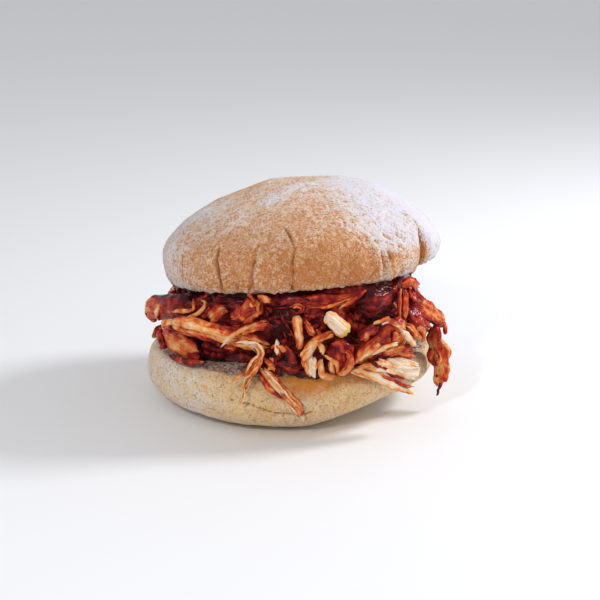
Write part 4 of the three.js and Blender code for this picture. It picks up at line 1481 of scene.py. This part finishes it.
# the many scattered ones need fewer faces
plainSizes = {
    "narrow": {"sides": 16, "rings": 18},
    "broad": {"sides": 26, "rings": 22},
    "strand": {"sides": 6, "rings": 14},
}
masters = {}
plainMasters = {}
variants = 5
for index, (name, kind) in enumerate(smallKinds.items()):
    plainKind = {**kind, **plainSizes[name]}
    seeds = [300 + 10 * index + k for k in range(variants)]
    masters[name] = [makeShred(name + str(seed), kind, seed) for seed in seeds]
    plainMasters[name] = [makeShred(name + "Plain" + str(seed), plainKind, seed) for seed in seeds]


def copyOf(master):
    piece = master.copy()
    piece.data = master.data.copy()
    scene.collection.objects.link(piece)
    return piece


def joinAll(pieces, name):
    activate(pieces[0])
    for piece in pieces:
        piece.select_set(True)
    bpy.ops.object.join()
    joined = bpy.context.object
    joined.name = name
    joined.data.name = name
    return joined


def makeFrontBits():
    made = []
    for k, (width, thickness, sauce, path) in enumerate(frontBits):
        kind = "strand" if width < 1.25 else "narrow" if width < 3.2 else "broad"
        piece = copyOf(masters[kind][k % variants])
        points = [Vector(p) * mm for p in path]
        reach = sum((b - a).length for a, b in zip(points, points[1:]))
        stubby = min(1, 0.008 / reach)
        widths, lumps = (width * mm, width * mm), 0.4 + 0.5 * stubby
        layShred(piece, points, widths, thickness * mm, 0, sauce, 10, lumps, 40 + k)
        made.append(piece)
    return joinAll(made, "frontBits")


frontPiece = makeFrontBits()


# the scattered kinds: how many, width, length and inset in millimetres, thickness as a share of the
# width, and how much sauce
scatter = {
    "broad": {
        "count": 80, "width": (4.5, 9), "thick": (0.34, 0.46),
        "length": (13, 26), "inset": (-1.2, 2.6), "sauce": (0.24, 0.9),
    },
    "narrow": {
        "count": 180, "width": (1.8, 4), "thick": (0.5, 0.75),
        "length": (10, 26), "inset": (-1.6, 2.4), "sauce": (0.16, 0.85),
    },
    "strand": {
        "count": 230, "width": (0.7, 1.4), "thick": (0.75, 0.95),
        "length": (8, 24), "inset": (-2.2, 1.4), "sauce": (0.12, 0.65),
    },
}
frontSpan = (math.radians(-158), math.radians(-22))
# how much deeper they sit under the lobe, strands most of all, at the left end and across the front,
# and the least and the added share of sauce at the front, where the dark sauce is partly painted shade in
# the gaps behind the larger shreds
sunk = {
    "lobe": (math.radians(-38), math.radians(24)), "lobeDepth": 0.0028, "strandDepth": 0.0046,
    "leftEnd": math.radians(138), "leftDepth": 0.0024, "frontDepth": 0.0022, "frontSauce": (0.64, 0.40),
}


def scatterShreds(name, seed):
    # shreds lie round the whole heap, bent along it
    rule = scatter[name]
    dice = np.random.default_rng(seed)
    made = []
    for k in range(rule["count"]):
        at = dice.uniform(-math.pi, math.pi)
        isFront = frontSpan[0] < at < frontSpan[1]
        up = dice.uniform(0.10, 0.90)
        tilt = dice.normal(0, 0.6)
        length = dice.uniform(*rule["length"]) * mm
        width = dice.uniform(*rule["width"]) * mm
        inset = dice.uniform(*rule["inset"]) * mm
        sauce = dice.uniform(*rule["sauce"])
        bow = dice.normal(0, 0.0014)
        wave = dice.normal(0, 0.12)
        turn = dice.uniform(-24, 24)
        if sunk["lobe"][0] < at < sunk["lobe"][1] and up > 0.4:
            inset += sunk["strandDepth" if name == "strand" else "lobeDepth"]
        if abs(at) > sunk["leftEnd"]:
            inset += sunk["leftDepth"]
        if isFront:
            inset = abs(inset) + sunk["frontDepth"]
            # the front ones get dark sauce, partly painted shade in the gaps behind the larger shreds
            sauce = sunk["frontSauce"][0] + sunk["frontSauce"][1] * sauce
        path = []
        for s in np.linspace(-0.5, 0.5, 5):
            angle = at + s * length * math.cos(tilt) / heap["around"]
            level = up + s * length * math.sin(tilt) / heap["tall"] + wave * (s * s * 4 - 0.5) * 0.5
            margin = 0.06 + 0.5 * width / heap["tall"]
            level = min(max(level, margin), 1 - margin)
            depth = inset + bow * (4 * s * s) + 0.0006 * math.sin(9 * s + k)
            path.append(heapPoint(np.float64(angle), level, depth))
        piece = copyOf(plainMasters[name][k % variants])
        thick = width * dice.uniform(*rule["thick"])
        widths, curl = (width, width * dice.uniform(0.7, 1.1)), dice.uniform(-30, 30)
        layShred(piece, path, widths, thick, turn, sauce, curl, 0.4, 60 + k)
        made.append(piece)
    return joinAll(made, name + "Shreds")


# how many hang and how many stand out, their widths in millimetres, and from where to where they lie
loose = {
    "hanging": 17, "hangingWidth": (1.6, 5.5), "drop": (0.001, 0.009),
    "tufts": 34, "tuftWidth": (1.3, 4.2), "reach": (0.0012, 0.0042),
    "span": (30, 150), "seed": 611,
}


def hangingPath(dice, at, slide):
    # out of the heap, over the heel's rim and down its side
    drop = dice.uniform(*loose["drop"])
    path = [
        heapPoint(np.float64(at - slide), 0.5, 0.0015),
        heapPoint(np.float64(at), 0.26, -0.0022),
    ]
    radii = (heel["rimRadius"] + 0.0024, heel["radius"] + 0.0016, heel["radius"] + 0.0018)
    for share, r in zip((0.0, 0.5, 1.0), radii):
        angle = at + slide * (0.6 + share)
        height = heel["rimHeight"] + heelLift(r * math.sin(angle)) + 0.0012 - share * drop
        path.append(np.array([r * math.cos(angle), r * math.sin(angle), height]))
    return path


def tuftPath(dice, at, slide):
    # out of the heap, ending in the open
    level = dice.uniform(0.25, 0.8)
    rise = dice.normal(0, 0.16)
    reach = dice.uniform(*loose["reach"])
    return [
        heapPoint(np.float64(at - 2.2 * slide), level - rise, 0.002),
        heapPoint(np.float64(at), level, -0.4 * reach),
        heapPoint(np.float64(at + slide), np.clip(level + rise, 0.15, 0.85), -reach),
    ]


def makeLooseShreds():
    # round the back and sides some shreds hang over the heel and others stand out of the heap
    dice = np.random.default_rng(loose["seed"])
    made = []
    for k in range(loose["hanging"] + loose["tufts"]):
        hangs = k < loose["hanging"]
        at = math.radians(dice.uniform(*loose["span"]))
        slide = dice.normal(0, 0.10)
        path = hangingPath(dice, at, slide) if hangs else tuftPath(dice, at, slide)
        width = dice.uniform(*loose["hangingWidth" if hangs else "tuftWidth"]) * mm
        name = "broad" if width > 0.0034 else "narrow"
        piece = copyOf(plainMasters[name][k % variants])
        sauce = dice.uniform(0.18, 0.75)
        twist, curl = dice.uniform(-20, 20), dice.uniform(-40, 40)
        layShred(piece, path, (width, 0.8 * width), width * 0.5, twist, sauce, curl, 0.6, 900 + k)
        made.append(piece)
    return joinAll(made, "looseShreds")


scattered = [scatterShreds(name, 500 + k) for k, name in enumerate(scatter)] + [makeLooseShreds()]
for group in (*masters.values(), *plainMasters.values()):
    for master in group:
        bpy.data.objects.remove(master)
print("the small shreds are laid")


# sauce clots and crumbs

blobShapes = 4


def makeBlob(name, seed):
    deselectAll()
    bpy.ops.mesh.primitive_ico_sphere_add(subdivisions=2, radius=1, location=(0, 0, 0))
    piece = bpy.context.object
    piece.name = name
    bpy.ops.object.shade_smooth()
    setPoints(piece, addLumps(getPoints(piece), 0.35, 0.9, seed))
    return piece


def scatterBlobs(name, spots, seed, roughness):
    # spots are a place, a size and a flatness; each blob is turned at random
    dice = np.random.default_rng(seed)
    shapes = [makeBlob(name + str(k), seed + k) for k in range(blobShapes)]
    made = []
    for k, (place, size, flat) in enumerate(spots):
        piece = copyOf(shapes[k % blobShapes])
        points = getPoints(piece) * [1, 1, flat]
        points = addLumps(points, roughness, 0.5, k)
        spin = np.array(Matrix.Rotation(dice.uniform(0, 6.28), 3, dice.normal(0, 1, 3)))
        setPoints(piece, points @ spin.T * size + np.array(place))
        made.append(piece)
    for shape in shapes:
        bpy.data.objects.remove(shape)
    return joinAll(made, name)


clots = {"count": 150, "size": (0.0005, 0.0015), "lobe": (-42, 26), "lobeDepth": 0.005, "seed": 71}


def makeClots():
    # small clots of sauce on the shreds, most of them near the front
    dice = np.random.default_rng(clots["seed"])
    lobe = [math.radians(at) for at in clots["lobe"]]
    spots = []
    for k in range(clots["count"]):
        at = dice.uniform(-math.pi, math.pi) if k % 3 else dice.uniform(*frontSpan)
        up, inset = dice.uniform(0.12, 0.92), dice.uniform(-0.0012, 0.0012)
        if lobe[0] < at < lobe[1] and up > 0.4:
            inset += clots["lobeDepth"]
        place = heapPoint(np.float64(at), up, inset)
        spots.append((place, dice.uniform(*clots["size"]), dice.uniform(0.45, 0.9)))
    piece = scatterBlobs("sauceClots", spots, 75, 0.0)
    points = getPoints(piece)
    sauce = 0.74 + 0.25 * softNoise(points, 0.006, 3)
    setFields(piece, sauce=sauce, tone=0.5, fat=0, grain=points / 0.002)
    return piece


crumbs = {"count": 230, "size": (0.00014, 0.00050), "seed": 81}


def makeCrumbs():
    # loose crumbs along the torn edges of the bun and on the heel's cut face
    dice = np.random.default_rng(crumbs["seed"])
    spots = []
    for k in range(crumbs["count"]):
        at = dice.uniform(-math.pi, math.pi)
        if k % 2:
            r = crown["rimRadius"] - dice.uniform(-0.0002, 0.0012)
            start = [r * math.cos(at), r * math.sin(at), dice.uniform(0, 0.0004)]
            onRim, _ = placeCrown(np.array([start]))
            place = moveBy(onRim, crownMatrix)[0]
        else:
            r = heel["rimRadius"] - dice.uniform(-0.0002, 0.0050)
            y = r * math.sin(at)
            place = (r * math.cos(at), y, heelTop(r) + heelLift(y) + dice.uniform(-0.0001, 0.0003))
        spots.append((place, dice.uniform(*crumbs["size"]), dice.uniform(0.6, 1.0)))
    piece = scatterBlobs("breadCrumbs", spots, 85, 0.25)
    shade = softNoise(getPoints(piece), 0.004, 5)
    setFields(
        piece,
        brown=0.4 + 0.5 * shade,
        flour=0.4 - 0.5 * shade,
        rough=0,
        crease=0,
        crumb=0.35,
        stain=0.3 + 0.4 * shade,
        redStain=0.2 + 0.6 * shade,
    )
    piece.data.materials.clear()
    piece.data.materials.append(heelCrust)
    return piece


clotPiece = makeClots()
crumbPiece = makeCrumbs()
print("clots and crumbs are scattered")


# every piece rides on the one body, and the detailed ones take the place of the frame's own solids

meatPieces = [corePiece, frontPiece, clotPiece, *scattered, *heroPieces.values()]
for piece in meatPieces:
    piece.data.materials.clear()
    piece.data.materials.append(meatMaterial)
    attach(piece, "root")
for piece in (crownPiece, heelPiece, crumbPiece):
    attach(piece, "root")
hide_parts("bun_crown")
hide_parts("bun_heel")
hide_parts("chicken_heap")
for name, piece in heroPieces.items():
    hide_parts(name)

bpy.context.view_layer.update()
total = sum(len(p.polygons) for p in bpy.data.meshes)
print("faces in all:", total)
